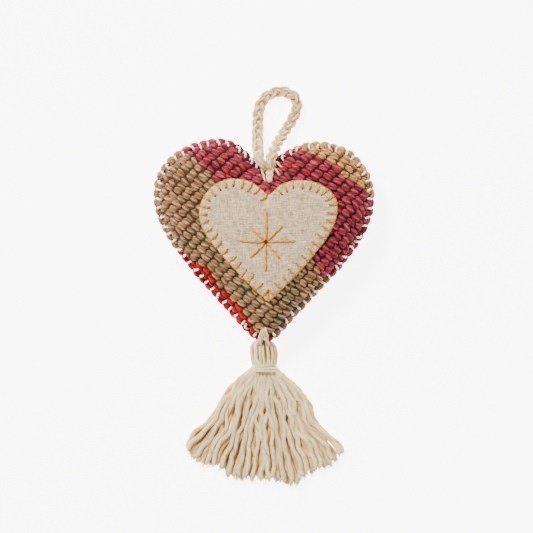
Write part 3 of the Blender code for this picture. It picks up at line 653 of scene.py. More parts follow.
def polar_table():
    """Where each ray from the middle of the cushion meets its skin, front and back, at even steps of
    the way from the pole to the seam. Also the length of that way, and the outline's length beside it."""
    angles = np.unwrap(np.arctan2(RIM_POINTS[:, 1] - POLE[1], RIM_POINTS[:, 0] - POLE[0]))
    thetas = angles[0] + circle(COLUMNS)
    along = np.interp(thetas, np.append(angles, angles[0] + TURN), np.append(RIM_LENGTHS, HEART.total))
    seam = HEART.at(along, SKIN_INSET)
    centre = Vector((*POLE, SEAM_HEIGHT))
    plans = [POLE + (seam - POLE) * share for share in RAY_SHARES]
    heights = [ray_height(plan, share) for plan, share in zip(plans, RAY_SHARES)]
    tables = []
    for side in (1, -1):
        hits = np.stack([np.column_stack([plan, SEAM_HEIGHT + side * height])
                         for plan, height in zip(plans, heights)], axis=1)
        for column in range(COLUMNS):
            for row in range(len(RAY_SHARES)):
                place, _, _, _ = SKIN.ray_cast(centre, (Vector(hits[column, row]) - centre).normalized())
                if place is not None:
                    hits[column, row] = place
        table = np.empty((COLUMNS, STEPS + 1, 3))
        reach = np.empty(COLUMNS)
        for column, places in enumerate(hits):
            lengths = path_lengths(places)
            reach[column] = lengths[-1]
            table[column] = read_along(places, lengths, EVEN_STEPS * lengths[-1])
        tables.append((table, reach))
    return thetas, along, tables


class Skin:
    """One side of the cushion, read by flat cloth coordinates from its pole."""

    def __init__(self, thetas, along, table, reach, side):
        self.first = thetas[0]
        self.along = along
        self.reach = reach
        self.side = side
        for _ in range(2):
            table = 0.25 * np.roll(table, 1, axis=0) + 0.5 * table + 0.25 * np.roll(table, -1, axis=0)
        depth = RIM_LUMP * (1.0 - np.abs(np.sin(math.pi * along / EDGE_PITCH)) ** 0.6)
        way = reach[:, None] * (1.0 - EVEN_STEPS[None, :])
        sink = depth[:, None] * np.exp(-(way / RIM_LUMP_FADE) ** 1.5)
        inward = np.concatenate([HEART.inward(along), np.zeros((len(along), 1))], axis=1)
        share = np.exp(-way / 2.0)[..., None]
        push = unit(share * inward[:, None, :] - (1.0 - share) * self.normals_of(table))
        self.table = table + sink[..., None] * push
        self.normal_table = self.normals_of(self.table)

    def normals_of(self, table):
        around = np.roll(table, -1, axis=0) - np.roll(table, 1, axis=0)
        normals = np.cross(np.gradient(table, axis=1), around) * self.side
        normals[:, 0] = (0.0, 0.0, self.side)
        normals = unit(normals)
        return normals * np.sign(normals[:, :, 2:3] * self.side + 0.35)

    def column_of(self, theta):
        return ((theta - self.first) / TURN * COLUMNS) % COLUMNS

    def reach_at(self, theta):
        """Length of the way from the pole to the seam at each angle."""
        return np.interp(self.column_of(theta), np.arange(COLUMNS + 1), np.append(self.reach, self.reach[0]))

    def read_polar(self, theta, share):
        """Places and normals at angles and shares of the way to the seam."""
        column = self.column_of(theta)
        row = np.clip(share, 0.0, 1.0) * STEPS
        c0 = np.floor(column).astype(int) % COLUMNS
        c1 = (c0 + 1) % COLUMNS
        r0 = np.minimum(np.floor(row).astype(int), STEPS - 1)
        fc = (column - np.floor(column))[..., None]
        fr = (row - r0)[..., None]
        read = []
        for source in (self.table, self.normal_table):
            low = source[c0, r0] * (1 - fc) + source[c1, r0] * fc
            high = source[c0, r0 + 1] * (1 - fc) + source[c1, r0 + 1] * fc
            read.append(low * (1 - fr) + high * fr)
        return read[0], unit(read[1])

    def share_of(self, flat):
        """The angle and the share of the way to the seam of flat cloth points."""
        theta = np.arctan2(flat[..., 1], flat[..., 0])
        return theta, np.linalg.norm(flat, axis=-1) / self.reach_at(theta)

    def flat_of(self, plan):
        """Flat cloth coordinates of plan points."""
        flats = []
        for x, y in np.asarray(plan, float) - POLE:
            theta = math.atan2(y, x)
            column = int(self.column_of(theta))
            radii = np.linalg.norm(self.table[column, :, :2] - POLE, axis=1)
            share = np.interp(math.hypot(x, y), radii, EVEN_STEPS)
            flats.append(share * self.reach[column] * np.array([math.cos(theta), math.sin(theta)]))
        return np.array(flats)

    def stitch_groove(self, theta, share):
        """How far a place lies under a whip stitch, from 0 to 1."""
        ends = np.append(self.along, self.along[0] + HEART.total)
        length = np.interp(self.column_of(theta), np.arange(COLUMNS + 1), ends)
        gap = np.abs((length / EDGE_PITCH + 0.5) % 1.0 - 0.5) * EDGE_PITCH
        way = (1.0 - np.minimum(share, 1.0)) * self.reach_at(theta)
        return np.exp(-(gap / STITCH_GROOVE) ** 2) * np.clip(STITCH_REACH - way, 0.0, 1.0)


thetas, along_rim, ((front_table, front_reach), (back_table, back_reach)) = polar_table()
FRONT = Skin(thetas, along_rim, front_table, front_reach, 1)
BACK = Skin(thetas, along_rim, back_table, back_reach, -1)

# Cloth: warp-faced plain weave, its warp down to the right, seen as rows of short yarn floats, the beads
WARP = np.array([math.cos(math.radians(-45.0)), math.sin(math.radians(-45.0))])
WEFT = np.array([-WARP[1], WARP[0]])
ROW_PITCH = 4.45
BEAD_PITCH = 2.8
BEAD_LENGTH = 5.1
BEAD_WIDTH = 2.8
BEAD_HEIGHT = 1.35
BEAD_BEND = 0.12
BEAD_TURN = 8.0
BEAD_SHIFT = 0.36
BEAD_ROWS = 14
BEAD_SIDES = 13
BEAD_TAPER = 2.4
BEAD_LENGTHS = (0.84, 1.12)
BEAD_WIDTHS = (0.84, 1.14)
BEAD_HEIGHTS = (0.85, 1.15)
BEAD_DIVE = 0.55
BEAD_SINK = 0.1
BEAD_UNDER_STITCH = 0.85
TUCK_START = 4.3
TUCK_LENGTH = 1.6
TUCK_DEPTH = 1.6
BEAD_TONES = (0.78, 1.22)
BEAD_WARMTHS = (-0.08, 0.08)
WARM_MIX = np.array([[0.4, 1.0, 1.4]])
DARKEST_SHADE = 0.05
BEAD_HALF_ANGLE = 112.0
BEAD_END = 0.12
BEAD_PLIES = 4
BEAD_TWIST = 2.6
BEAD_PLY_DEPTH = 0.13
LATTICE_START = np.array([1.1, 0.6])
LATTICE_ROWS = range(-20, 21)
LATTICE_COLUMNS = range(-32, 33)

# Where the stripes meet, at plan points of the front
RED_TO_TAN = ((-44.0, 47.6), (-37.6, 41.8), (-32.2, 38.2), (-25.8, 32.6), (-21.6, 28.0), (-18.7, 23.8),
              (-13.8, 19.2), (-10.6, 14.9), (-6.0, 9.3), (-3.4, 5.6), (0.5, 3.4), (3.4, 2.6), (6.5, 2.2))
TAN_TO_RASPBERRY = ((-37.3, 90.6), (-35.6, 86.1), (-31.6, 83.6), (-27.0, 79.2), (-22.2, 75.0), (22.6, 36.1),
                    (24.8, 31.6), (29.2, 29.4), (31.0, 27.7))
RASPBERRY_TO_GOLD = ((12.2, 90.3), (19.0, 87.7), (27.0, 84.2), (32.6, 79.7), (35.8, 76.9), (41.1, 74.1),
                     (42.9, 71.0), (46.9, 69.2), (51.3, 64.8))
STRIPES = ("red", "tan", "raspberry", "golden")
STRIPE_COLOURS = np.array([RED, TAN, RASPBERRY, GOLDEN_TAN])
TAN_STRIPE = STRIPES.index("tan")
RASPBERRY_STRIPE = STRIPES.index("raspberry")

# Shares of the beads that are green, reddish or pale, and how far they take that colour
GREEN_LINE = 17.0
GREEN_SPREAD = 12.0
GREEN_START = -30.0
GREEN_SHARE = 0.05
GREEN_SHARE_BY_FELT = 0.45
GREEN_MIX = 0.55
FLUSHED_SHARE = 0.16
FLUSHED_MIX = 0.3
PALED_SHARE = 0.09
PALED_MIX = 0.28


def border(plan):
    """A border in flat cloth coordinates: places along the warp and across it."""
    flat = FRONT.flat_of(plan)
    places = np.column_stack([flat @ WARP, flat @ WEFT])
    return places[np.argsort(places[:, 0])]


BORDERS = [border(plan) for plan in (RED_TO_TAN, TAN_TO_RASPBERRY, RASPBERRY_TO_GOLD)]


def stripe_of(along, across):
    """The number of the stripe at places along the warp and across it."""
    number = np.zeros(np.shape(along), int)
    for line in BORDERS:
        number += across > np.interp(along, line[:, 0], line[:, 1])
    return number


def bead_colour(stripe, along, across):
    """The yarn's colour, heathered from bead to bead."""
    count = len(stripe)
    tone = RANDOM.uniform(*BEAD_TONES, (count, 1))
    warm = RANDOM.uniform(*BEAD_WARMTHS, (count, 1)) * WARM_MIX
    colours = STRIPE_COLOURS[stripe] * (tone + warm)
    near_felt = np.exp(-((across + GREEN_LINE) / GREEN_SPREAD) ** 2) * (along > GREEN_START)
    green_share = GREEN_SHARE + GREEN_SHARE_BY_FELT * near_felt
    changes = ((TAN_STRIPE, green_share, GREEN_MIX, TAN_GREEN * tone),
               (RASPBERRY_STRIPE, FLUSHED_SHARE, FLUSHED_MIX, RED * np.ones_like(tone)),
               (RASPBERRY_STRIPE, PALED_SHARE, PALED_MIX, PALE_ROSE * tone))
    for number, share, mix, other in changes:
        chosen = (stripe == number) & (RANDOM.uniform(0, 1, count) < share)
        colours[chosen] = (1.0 - mix) * colours[chosen] + mix * other[chosen]
    return colours


def make_beads(skin, label):
    """The floats of the weave, in rows along the warp, every other row moved by half a bead."""
    places = np.array([(row * ROW_PITCH, (column + 0.5 * (row % 2)) * BEAD_PITCH)
                       for row in LATTICE_ROWS for column in LATTICE_COLUMNS]) + LATTICE_START
    places = places + RANDOM.uniform(-BEAD_SHIFT, BEAD_SHIFT, places.shape)
    flat = places[:, :1] * WARP + places[:, 1:] * WEFT
    theta, share = skin.share_of(flat)
    kept = (1.0 - share) * skin.reach_at(theta) > FOLD_REACH - 0.5
    places, flat = places[kept], flat[kept]
    stripe = stripe_of(places[:, 0], places[:, 1])
    each = (len(flat), 1, 1)
    turn = np.radians(RANDOM.normal(0.0, BEAD_TURN, each))
    along = np.cos(turn) * WARP + np.sin(turn) * WEFT
    across = np.cos(turn) * WEFT - np.sin(turn) * WARP
    length = BEAD_LENGTH * RANDOM.uniform(*BEAD_LENGTHS, each)
    width = BEAD_WIDTH * RANDOM.uniform(*BEAD_WIDTHS, each)
    height = BEAD_HEIGHT * RANDOM.uniform(*BEAD_HEIGHTS, each)
    a = np.linspace(-1.0, 1.0, BEAD_ROWS)[:, None]
    a = np.sign(a) * np.abs(a) ** 0.8
    phi = np.radians(np.linspace(-BEAD_HALF_ANGLE, BEAD_HALF_ANGLE, BEAD_SIDES))
    body = BEAD_END + (1.0 - BEAD_END) * np.sqrt(np.clip(1.0 - np.abs(a) ** BEAD_TAPER, 0.0, 1.0))
    lobes = np.cos(BEAD_PLIES * phi - a * BEAD_TWIST + RANDOM.uniform(0, TURN, each))
    swell = 1.0 + BEAD_PLY_DEPTH * lobes
    bend = RANDOM.normal(0.0, BEAD_BEND, each) * (1 - a ** 2)
    wide = 0.5 * width * body * np.sin(phi) * swell + bend
    far = 0.5 * length * a * np.ones_like(wide)
    points = flat[:, None, None] + far[..., None] * along[:, None] + wide[..., None] * across[:, None]
    theta, share = skin.share_of(points)
    tuck = np.clip((TUCK_START - (1.0 - share) * skin.reach_at(theta)) / TUCK_LENGTH, 0.0, 1.0)
    rise = height * (body * np.cos(phi) * swell) - BEAD_DIVE * np.abs(a) ** 3 - BEAD_SINK
    rise = rise * (1.0 - BEAD_UNDER_STITCH * skin.stitch_groove(theta, share)) - TUCK_DEPTH * tuck
    base, normals = skin.read_polar(theta, np.minimum(share, 0.9995))
    points = base + rise[..., None] * normals
    colours = bead_colour(stripe, places[:, 0], places[:, 1])
    # Painted light and shade on each bead: lighter on its crown, darker down its sides, in its ply grooves
    # and towards its ends, and warmer where darker.
    crown_lighting = 0.3 + 0.8 * np.clip(np.cos(phi), 0.0, 1.0) ** 0.7
    shade = (0.8 + 0.34 * lobes) * crown_lighting * np.clip(0.1 + body, 0.0, 1.0)
    tints = colours[:, None, None] * np.maximum(shade, DARKEST_SHADE)[..., None] ** WARM_SHADE
    seeds = RANDOM.uniform(0, SEEDS, each)
    grains = np.stack(np.broadcast_arrays(far, 0.5 * width * phi - 0.7 * far, seeds), axis=-1)
    faces = grid_faces(BEAD_ROWS, BEAD_SIDES, False)[:, ::skin.side]
    for number, name in enumerate(STRIPES):
        chosen = np.nonzero(stripe == number)[0]
        if not len(chosen):
            continue
        bag = Bag()
        offsets = np.arange(len(chosen))[:, None, None] * BEAD_ROWS * BEAD_SIDES
        bag.add(points[chosen], faces[None] + offsets, tints[chosen], grains[chosen])
        bag.build(f"{label}_{name}_weave", WOOL)


GROUND_COLUMNS = 480
GROUND_ROWS = 40
GROUND_SHADE = 0.12


def make_ground(skin, label, node):
    """The cloth under the beads, in painted shade where it shows between them: each stripe's colour
    darkened, dark brown under the tan, and dark green where green yarn lies in shade under the tan near the
    felt.
    """
    share, theta = np.meshgrid(np.linspace(0.0, 1.0, GROUND_ROWS), skin.first + circle(GROUND_COLUMNS),
                               indexing="ij")
    points, _ = skin.read_polar(theta, share)
    flat = (share * skin.reach_at(theta))[..., None] * np.stack([np.cos(theta), np.sin(theta)], axis=-1)
    stripe = stripe_of(flat @ WARP, flat @ WEFT)
    # Painted shade: the ground takes a darkened colour of its stripe.
    tints = STRIPE_COLOURS[stripe] * GROUND_SHADE
    tan = stripe == TAN_STRIPE
    tints[tan] = WEAVE_SHADE
    tints[tan & (np.abs(flat @ WEFT + GREEN_LINE) < 11.0) & (flat @ WARP > -24.0)] = WEAVE_GREEN_SHADE
    grains = np.concatenate([flat, np.zeros(flat.shape[:2] + (1,))], axis=-1)
    bag = Bag()
    bag.add(points, grid_faces(GROUND_ROWS, GROUND_COLUMNS)[:, ::-skin.side], tints, grains)
    return bag.build(f"{label}_cloth", WOOL, [node])


front_cloth = make_ground(FRONT, "front", "woven_front")
back_cloth = make_ground(BACK, "back", "woven_back")
make_beads(FRONT, "front")
make_beads(BACK, "back")


# Rim: the cloths' edges, squeezed by the whip stitches into a row of short fat folds
def over_rim(length, ins, lifts, lean):
    """A route from the front cloth over the rim to the back one, and how far in each of its places is."""
    ends = np.append(along_rim, HEART.total + along_rim[0])
    theta = float(np.interp(length % HEART.total, ends, np.append(thetas, thetas[0] + TURN)))
    parts = []
    for skin in (FRONT, BACK):
        reach = float(skin.reach_at(theta))
        places, normals = skin.read_polar(theta + lean * skin.side * ins / reach, 1.0 - ins / reach)
        parts.append((places + lifts[:, None] * normals)[::skin.side])
    route = smooth_path(np.vstack(parts), 0.36)
    signed = np.interp(np.linspace(0.0, 1.0, len(route)), np.linspace(0.0, 1.0, 2 * len(ins)),
                       np.concatenate([ins, -ins[::-1]]))
    inward = HEART.inward(np.array([length]))[0]
    return theta, route, signed, np.array([-inward[1], inward[0], 0.0])


def make_folds():
    bag = Bag()
    for k in range(EDGE_STITCHES):
        length = (k + 0.5) * EDGE_PITCH + RANDOM.uniform(-EDGE_JITTER, EDGE_JITTER)
        reach_in = FOLD_REACH * RANDOM.uniform(0.88, 1.12)
        ins = np.linspace(reach_in, 0.25, 7)
        lifts = np.interp(ins, [0.0, 0.6 * reach_in, reach_in], [FOLD_LIFT, FOLD_LIFT + 0.15, FOLD_DIVE])
        theta, route, signed, reference = over_rim(length, ins, lifts, RANDOM.normal(0.0, 0.1))
        way = (FRONT.reach_at(theta) - np.abs(signed))[:, None]
        flat = way * np.array([math.cos(theta), math.sin(theta)])
        tone = RANDOM.uniform(*FOLD_TONES)
        colours = (STRIPE_COLOURS[stripe_of(flat @ WARP, flat @ WEFT)] * tone)[:, None, :]
        half_width = 0.5 * EDGE_PITCH * FOLD_SHARE * RANDOM.uniform(0.9, 1.08)
        rise = FOLD_RISE * RANDOM.uniform(0.9, 1.1)
        # Painted shade in the grooves between the folds' ribs, darker and warmer than the cloth.
        add_yarn(bag, route, rise, colours, reference=reference, sides=18, plies=1, ply_depth=0.1,
                 pitch=RANDOM.uniform(1.5, 2.1), flat=half_width / rise,
                 groove_shade=colours * 0.42 ** WARM_SHADE, blunt=1.5)
    bag.build("rim_folds", WOOL)


make_folds()


# Whipping: white thread over the rim in each valley, from the front cloth to the back
def make_whipping():
    bag = Bag()
    for k in range(EDGE_STITCHES):
        reach_in = STITCH_REACH * RANDOM.uniform(0.84, 1.06)
        ins = np.linspace(reach_in, 0.3, 8)
        lifts = np.interp(ins, [0.0, 2.4, reach_in - 1.2, reach_in],
                          [WHIP_RIM, WHIP_LOW, WHIP_CROWN, WHIP_LOW])
        length = k * EDGE_PITCH + RANDOM.uniform(-EDGE_JITTER, EDGE_JITTER)
        _, route, _, reference = over_rim(length, ins, lifts, RANDOM.normal(0.0, 0.14))
        tone = RANDOM.uniform(0.94, 1.03)
        # Painted shade in the thread's ply grooves.
        add_yarn(bag, route, 0.5 * EDGE_THREAD, WHITE_THREAD * tone, reference=reference, sides=10, plies=2,
                 ply_depth=0.1, pitch=2.6, groove_shade=WHITE_THREAD * 0.78, blunt=1.2)
    bag.build("rim_whipping", THREAD, ["edge_stitches"])


make_whipping()


def front_top(points):
    """Height of the front cloth over plan points."""
    heights = []
    for x, y in np.asarray(points).reshape(-1, 2):
        place, _, _, _ = SKIN.ray_cast(Vector((x, y, 60.0)), DOWN)
        heights.append(place.z if place is not None else SEAM_HEIGHT)
    return np.array(heights).reshape(np.shape(points)[:-1])


# Felt heart: a thick soft sheet, drawn down and in at its edge by each stitch
FELT_BASE = 0.9
FELT_TRIM = 0.75
FELT_AROUND = 352
FELT_RINGS = 30
FELT_EDGE_ROUND = 1.1
FELT_DRAW = 0.28
FELT_DENT = 0.45
FELT_WOBBLE = 0.12
FELT_LIFT = 0.25
FELT_SAMPLES = 720


def make_felt():
    lengths = FELT.even(FELT_AROUND)
    at_stitch = np.abs(np.cos(math.pi * lengths / BLANKET_PITCH))
    edge = FELT.at(lengths, FELT_DRAW * at_stitch ** 3 + FELT_TRIM)
    tops = []
    bottoms = []
    for share in np.linspace(0.0, 1.0, FELT_RINGS) ** 1.6:
        plan = FELT_MIDDLE + (edge - FELT_MIDDLE) * (1.0 - min(share, 0.998))
        height = front_top(plan) + FELT_BASE
        span = np.linalg.norm(FELT_MIDDLE - FELT.read(lengths), axis=1) * share
        roundness = np.sqrt(np.clip(1.0 - (1.0 - np.minimum(span / FELT_EDGE_ROUND, 1.0)) ** 2, 0.0, 1.0))
        dent = FELT_DENT * at_stitch ** 4 * np.exp(-((span - 1.6) / 2.2) ** 2)
        wobble = FELT_WOBBLE * np.sin(plan[:, 0] * 0.43 + 1.0) * np.sin(plan[:, 1] * 0.37)
        top = height + FELT_LIFT + FELT_THICKNESS * roundness - dent + wobble
        tops.append(np.column_stack([plan, top]))
        bottoms.append(np.column_stack([plan, height - 0.1 * roundness]))
    points = np.stack(bottoms[::-1] + tops)
    bag = Bag()
    bag.add(points, grid_faces(len(points), FELT_AROUND), OATMEAL, points)
    felt = bag.build("felt", felt_material(), ["felt_heart"])
    plan = FELT.read(FELT.even(FELT_SAMPLES))
    return felt


FELT_TREE = BVHTree.FromObject(make_felt(), bpy.context.evaluated_depsgraph_get())
PROBE_HEIGHT = 0.06
WEAVE_TOP = 0.9


def felt_top(plan):
    """Heights of whatever lies on top at plan points: the felt, or the weave beside it."""
    heights = []
    for x, y in plan:
        start = Vector(((x + ORIGIN[0]) * MM, (y + ORIGIN[1]) * MM, PROBE_HEIGHT))
        place, _, _, _ = FELT_TREE.ray_cast(start, DOWN)
        heights.append(place.z / MM if place is not None else float(front_top((x, y))) + WEAVE_TOP)
    return np.array(heights)


THREAD_STEP = 0.3


def laid(plan, heights, step=THREAD_STEP):
    """A smooth route over plan points at the heights given."""
    return smooth_path(np.column_stack([plan, heights]), step)


HOLE_POINTS = 10
HOLE_LIFT = 0.05
LEG_HOLE = 0.42
STAR_HOLE = 1.0
holes = Bag()


def add_hole(place, radius):
    """A dark disc of painted shade on the felt, where a thread goes through it into the hole."""
    angles = circle(HOLE_POINTS)
    ring = place + radius * np.column_stack([np.cos(angles), np.sin(angles)])
    height = felt_top(ring) + HOLE_LIFT
    middle = np.repeat([[*place, height.mean() + HOLE_LIFT]], HOLE_POINTS, axis=0)
    points = np.vstack([middle, np.column_stack([ring, height])])
    holes.add(points, grid_faces(2, HOLE_POINTS)[:, ::-1], HOLE_SHADE, np.zeros(3))


def paint_gold_shade(bag, mix, strength, tone):
    """Paints shade on the bag's last yarn: turns it towards the gold's shade colour, by as much as mix says
    at each ring.
    """
    sides = len(bag.tints[-1]) // len(mix)
    mix = strength * np.repeat(mix, sides)[:, None]
    bag.tints[-1] = bag.tints[-1] * (1.0 - mix) + mix * GOLD_SHADE * tone


# Blanket stitch: gold thread round the felt's edge, with legs that run in and dive through it
LEG_START = -0.35
EDGE_GOLD = 0.23
EDGE_TONE = 0.8
EDGE_HEIGHT = 1.35
EDGE_SAG = 0.3
EDGE_POINTS = 8


def make_blanket():
    bag = Bag()
    for k in range(BLANKET_STITCHES):
        start = k * BLANKET_PITCH + RANDOM.uniform(-0.2, 0.2)
        reach = BLANKET_REACH * RANDOM.uniform(0.86, 1.12)
        swing = RANDOM.normal(0.0, 0.35)
        insets = np.linspace(LEG_START, reach, 10)
        plan = np.array([FELT.at(start + swing * max(i, 0.0) / reach, i + FELT_TRIM) for i in insets])
        lift = np.interp(insets, [LEG_START, 0.3, reach - 0.7, reach], [0.1, 0.32, 0.34, -0.3])
        add_hole(plan[-1], LEG_HOLE)
        route = laid(plan, felt_top(plan) + lift)
        add_yarn(bag, route, 0.5 * BLANKET_THREAD, GOLD_THREAD, sides=8, **GOLD_TWIST)
        # Painted shade: each leg darkens towards its inner end, where it sinks into the felt.
        paint_gold_shade(bag, np.clip(np.linspace(LEG_START, reach, len(route)) / reach, 0.0, 1.0) ** 2.2, 0.75, 0.6)
        sag = EDGE_SAG ** 2 * np.sin(np.linspace(0, math.pi, EDGE_POINTS))
        edge = FELT.at(np.linspace(start, start + BLANKET_PITCH, EDGE_POINTS),
                       FELT_TRIM - 0.12 - sag + RANDOM.uniform(0.0, 0.35))
        low = front_top(edge) + EDGE_HEIGHT
        low = low + np.interp(np.linspace(0, 1, EDGE_POINTS), [0, 0.15, 0.85, 1], [0.5, 0.0, 0.0, 0.5])
        low = low + RANDOM.normal(0.0, 0.1)
        add_yarn(bag, laid(edge, low, 0.35), EDGE_GOLD, GOLD_THREAD * EDGE_TONE, sides=6, **GOLD_TWIST)
    bag.build("blanket_stitch", GOLD, ["blanket_stitching"])


make_blanket()

# Star: eight long stitches from one hole in the middle, their ends at pixels of the photo
PIXEL = 0.4618
STAR_ENDS = PIXEL * np.array([(29.7, 0.8), (16.8, 16.4), (-0.22, 33.5), (-15.8, 15.2), (-29.1, 2.1),
                              (-15.6, -15.3), (-0.22, -29.8), (13.7, -17.0)])
STAR_START = 0.7
STAR_BOW = 0.18


def make_star():
    bag = Bag()
    for end in STAR_ENDS:
        way = unit(end)
        start = way * STAR_START
        t = np.linspace(0.0, 1.0, 14)
        bow = RANDOM.normal(0.0, STAR_BOW) * np.sin(math.pi * t)
        plan = STAR_CENTRE + start + (end - start) * t[:, None] + bow[:, None] * np.array([-way[1], way[0]])
        lift = np.interp(t, [0.0, 0.1, 0.25, 0.85, 1.0], [-0.3, 0.35, 0.5, 0.45, -0.5])
        route = laid(plan, felt_top(plan) + lift)
        # Painted shade in the thread's ply grooves.
        add_yarn(bag, route, 0.5 * STAR_THREAD, GOLD_THREAD, sides=10, plies=2, ply_depth=0.14, pitch=3.2,
                 groove_shade=GOLD_SHADE, blunt=0.8, flat=0.8)
        # Painted shade: each ray darkens at both ends, where it sinks into the felt.
        ends = np.linspace(0.0, 1.0, len(route))
        paint_gold_shade(bag, np.clip(np.maximum(1.0 - ends / 0.14, (ends - 0.84) / 0.16), 0.0, 1.0), 0.7, 0.4)
    bag.build("star", GOLD, ["star_embroidery"])
    add_hole(STAR_CENTRE, STAR_HOLE)


make_star()
holes.build("needle_holes", WOOL)

# Yarn that sews the loop down over the cleft: at each end three strands that fork down to a foot, and
# rows of stitches, each with the places of its top and its foot and its radius
FORK_FEET = ((LOOP_ROUTE[-1], (1.1, 79.3), 1.0), (LOOP_ROUTE[0], (2.9, 79.6), 0.5))
FORK_STRANDS = ((-1.35, 0.0), (0.0, 0.55), (1.35, 0.1))
FORK_RADIUS = 0.95
CLEFT_ROWS = ((-1.7, 0.4, 80.6, 73.4, 0.5), (0.9, 1.5, 82.2, 73.4, 0.62), (1.9, 2.0, 82.6, 72.9, 0.66),
              (3.0, 2.6, 82.6, 73.0, 0.66), (4.0, 3.1, 82.0, 73.5, 0.6), (4.9, 6.9, 79.6, 76.2, 0.45),
              (5.6, 8.2, 82.6, 79.6, 0.45))


def make_loop_stitches():
    bag = Bag()
    for leg, foot, crossing in FORK_FEET:
        start = np.array(leg) + CLEFT
        away = np.array([start[0] * 1.12, start[1] + 2.6, start[2] - 1.2])
        across = unit(np.array([foot[1] - start[1], start[0] - foot[0], 0.0]))
        low = np.array([*foot, float(front_top((foot[0], foot[1] - 1.0))) + 2.2])
        middle = 0.5 * (start + low) + np.array([0.0, 0.0, crossing])
        for shift, rise in FORK_STRANDS:
            lift = np.array([0.0, 0.0, rise])
            points = [away + shift * across, start + shift * across + lift,
                      middle + 0.8 * shift * across + lift, low + 0.6 * shift * across]
            add_yarn(bag, smooth_path(points, 0.3), FORK_RADIUS, CREAM, sides=12, pitch=8.0, **PLIED)
    t = np.linspace(0.0, 1.0, 9)
    lift = np.interp(t, [0.0, 0.2, 0.8, 1.0], [2.6, 3.0, 1.9, 0.3])
    for top_x, low_x, top_y, low_y, radius in CLEFT_ROWS:
        x = top_x + (low_x - top_x) * t
        y = top_y + (low_y - top_y) * t
        height = front_top(np.column_stack([x, np.minimum(y, CLEFT_HEIGHT - 1.2)]))
        path = laid(np.column_stack([x, y]), height + lift)
        # Painted shade in the ply grooves and on the sides that turn down.
        add_yarn(bag, path, radius, CREAM * 1.1, sides=10, plies=2, ply_depth=0.12, pitch=3.0,
                 groove_shade=CREAM_SHADE * 1.2, under=WARM_SIDE_SHADE)
    bag.build("cleft_stitches", CREAM_YARN, ["loop_stitches"])


make_loop_stitches()

# Tassel: the fan's half width at shares of the way down, and its tips at shares of that width, then its
# layers from the top: how many yarns, the layer's number, and the share of its colour left by its painted
# shade
FAN_EDGE_T = (0.0, 0.085, 0.15, 0.24, 0.35, 0.43, 0.53, 0.64, 0.7, 0.78, 0.9, 1.0)
FAN_EDGE_X = (3.7, 5.2, 9.8, 14.2, 17.3, 19.9, 22.3, 24.3, 25.8, 29.8, 34.8, 37.4)
FAN_TIPS_U = (-1.0, -0.82, -0.6, -0.47, -0.21, 0.03, 0.22, 0.4, 0.56, 0.82, 0.97, 1.0)
FAN_TIPS_Y = (-49.6, -58.0, -58.4, -63.0, -65.8, -64.7, -66.7, -67.0, -62.1, -58.4, -54.7, -52.4)
FAN_LAYERS = ((20, 2, (1.0, 1.0, 1.0)), (31, 1, (0.88, 0.72, 0.46)), (56, 0, (0.76, 0.55, 0.28)))
TOP_LAYER = 2
LAYER_RISE = 1.55
YARN_RADIUS = 1.17
YARN_POINTS = 60
UNSHADED_END = 0.2
UNSHADED_END_MIX = 0.85
ORBIT = 0.9
ORBIT_WAVE = 0.16
SPREAD_BLUR = 9
TASSEL_LUREX = 0.17
LUREX_EVERY = 3


def skirt_yarn(u, layer):
    """A yarn's way from the waist to its cut end, at u from -1 at the fan's left edge to 1 at its right."""
    wander = 0.4 if layer == 0 else 1.0
    end_y = np.interp(u, FAN_TIPS_U, FAN_TIPS_Y) + RANDOM.uniform(-0.6, 2.6)
    t = np.linspace(0.0, 1.0, YARN_POINTS)
    spread = np.pad(np.interp(t, FAN_EDGE_T, FAN_EDGE_X), SPREAD_BLUR // 2, mode="edge")
    x = u * np.convolve(spread, np.ones(SPREAD_BLUR) / SPREAD_BLUR, mode="valid")
    y = WAIST_TOP + (end_y - WAIST_TOP) * t
    ease = np.clip(t * 4.0, 0.0, 1.0)
    length = path_lengths(np.column_stack([x, y]))
    x = x + ease * noise_wave(length, RANDOM.uniform(28.0, 46.0), RANDOM.uniform(0.4, 1.0) * wander)
    x = x + ease * noise_wave(length, RANDOM.uniform(9.0, 15.0), 0.3)
    y = y + ease * noise_wave(length, RANDOM.uniform(20.0, 30.0), 0.4)
    start_angle = math.asin(u)
    start_z = TASSEL_MIDDLE_HEIGHT + (layer - 1) * 0.32 * WAIST_DEPTH * math.cos(start_angle)
    lay_z = YARN_RADIUS + (layer * LAYER_RISE + RANDOM.uniform(0.0, 0.5)) * (1.0 - 0.35 * u ** 2)
    z = lay_z + (start_z - lay_z) * (1.0 - t) ** 2.4
    z = z + ease * noise_wave(length, RANDOM.uniform(14.0, 26.0), 0.3)
    return t, length, np.column_stack([x, y, np.maximum(z, 0.95 * YARN_RADIUS)])


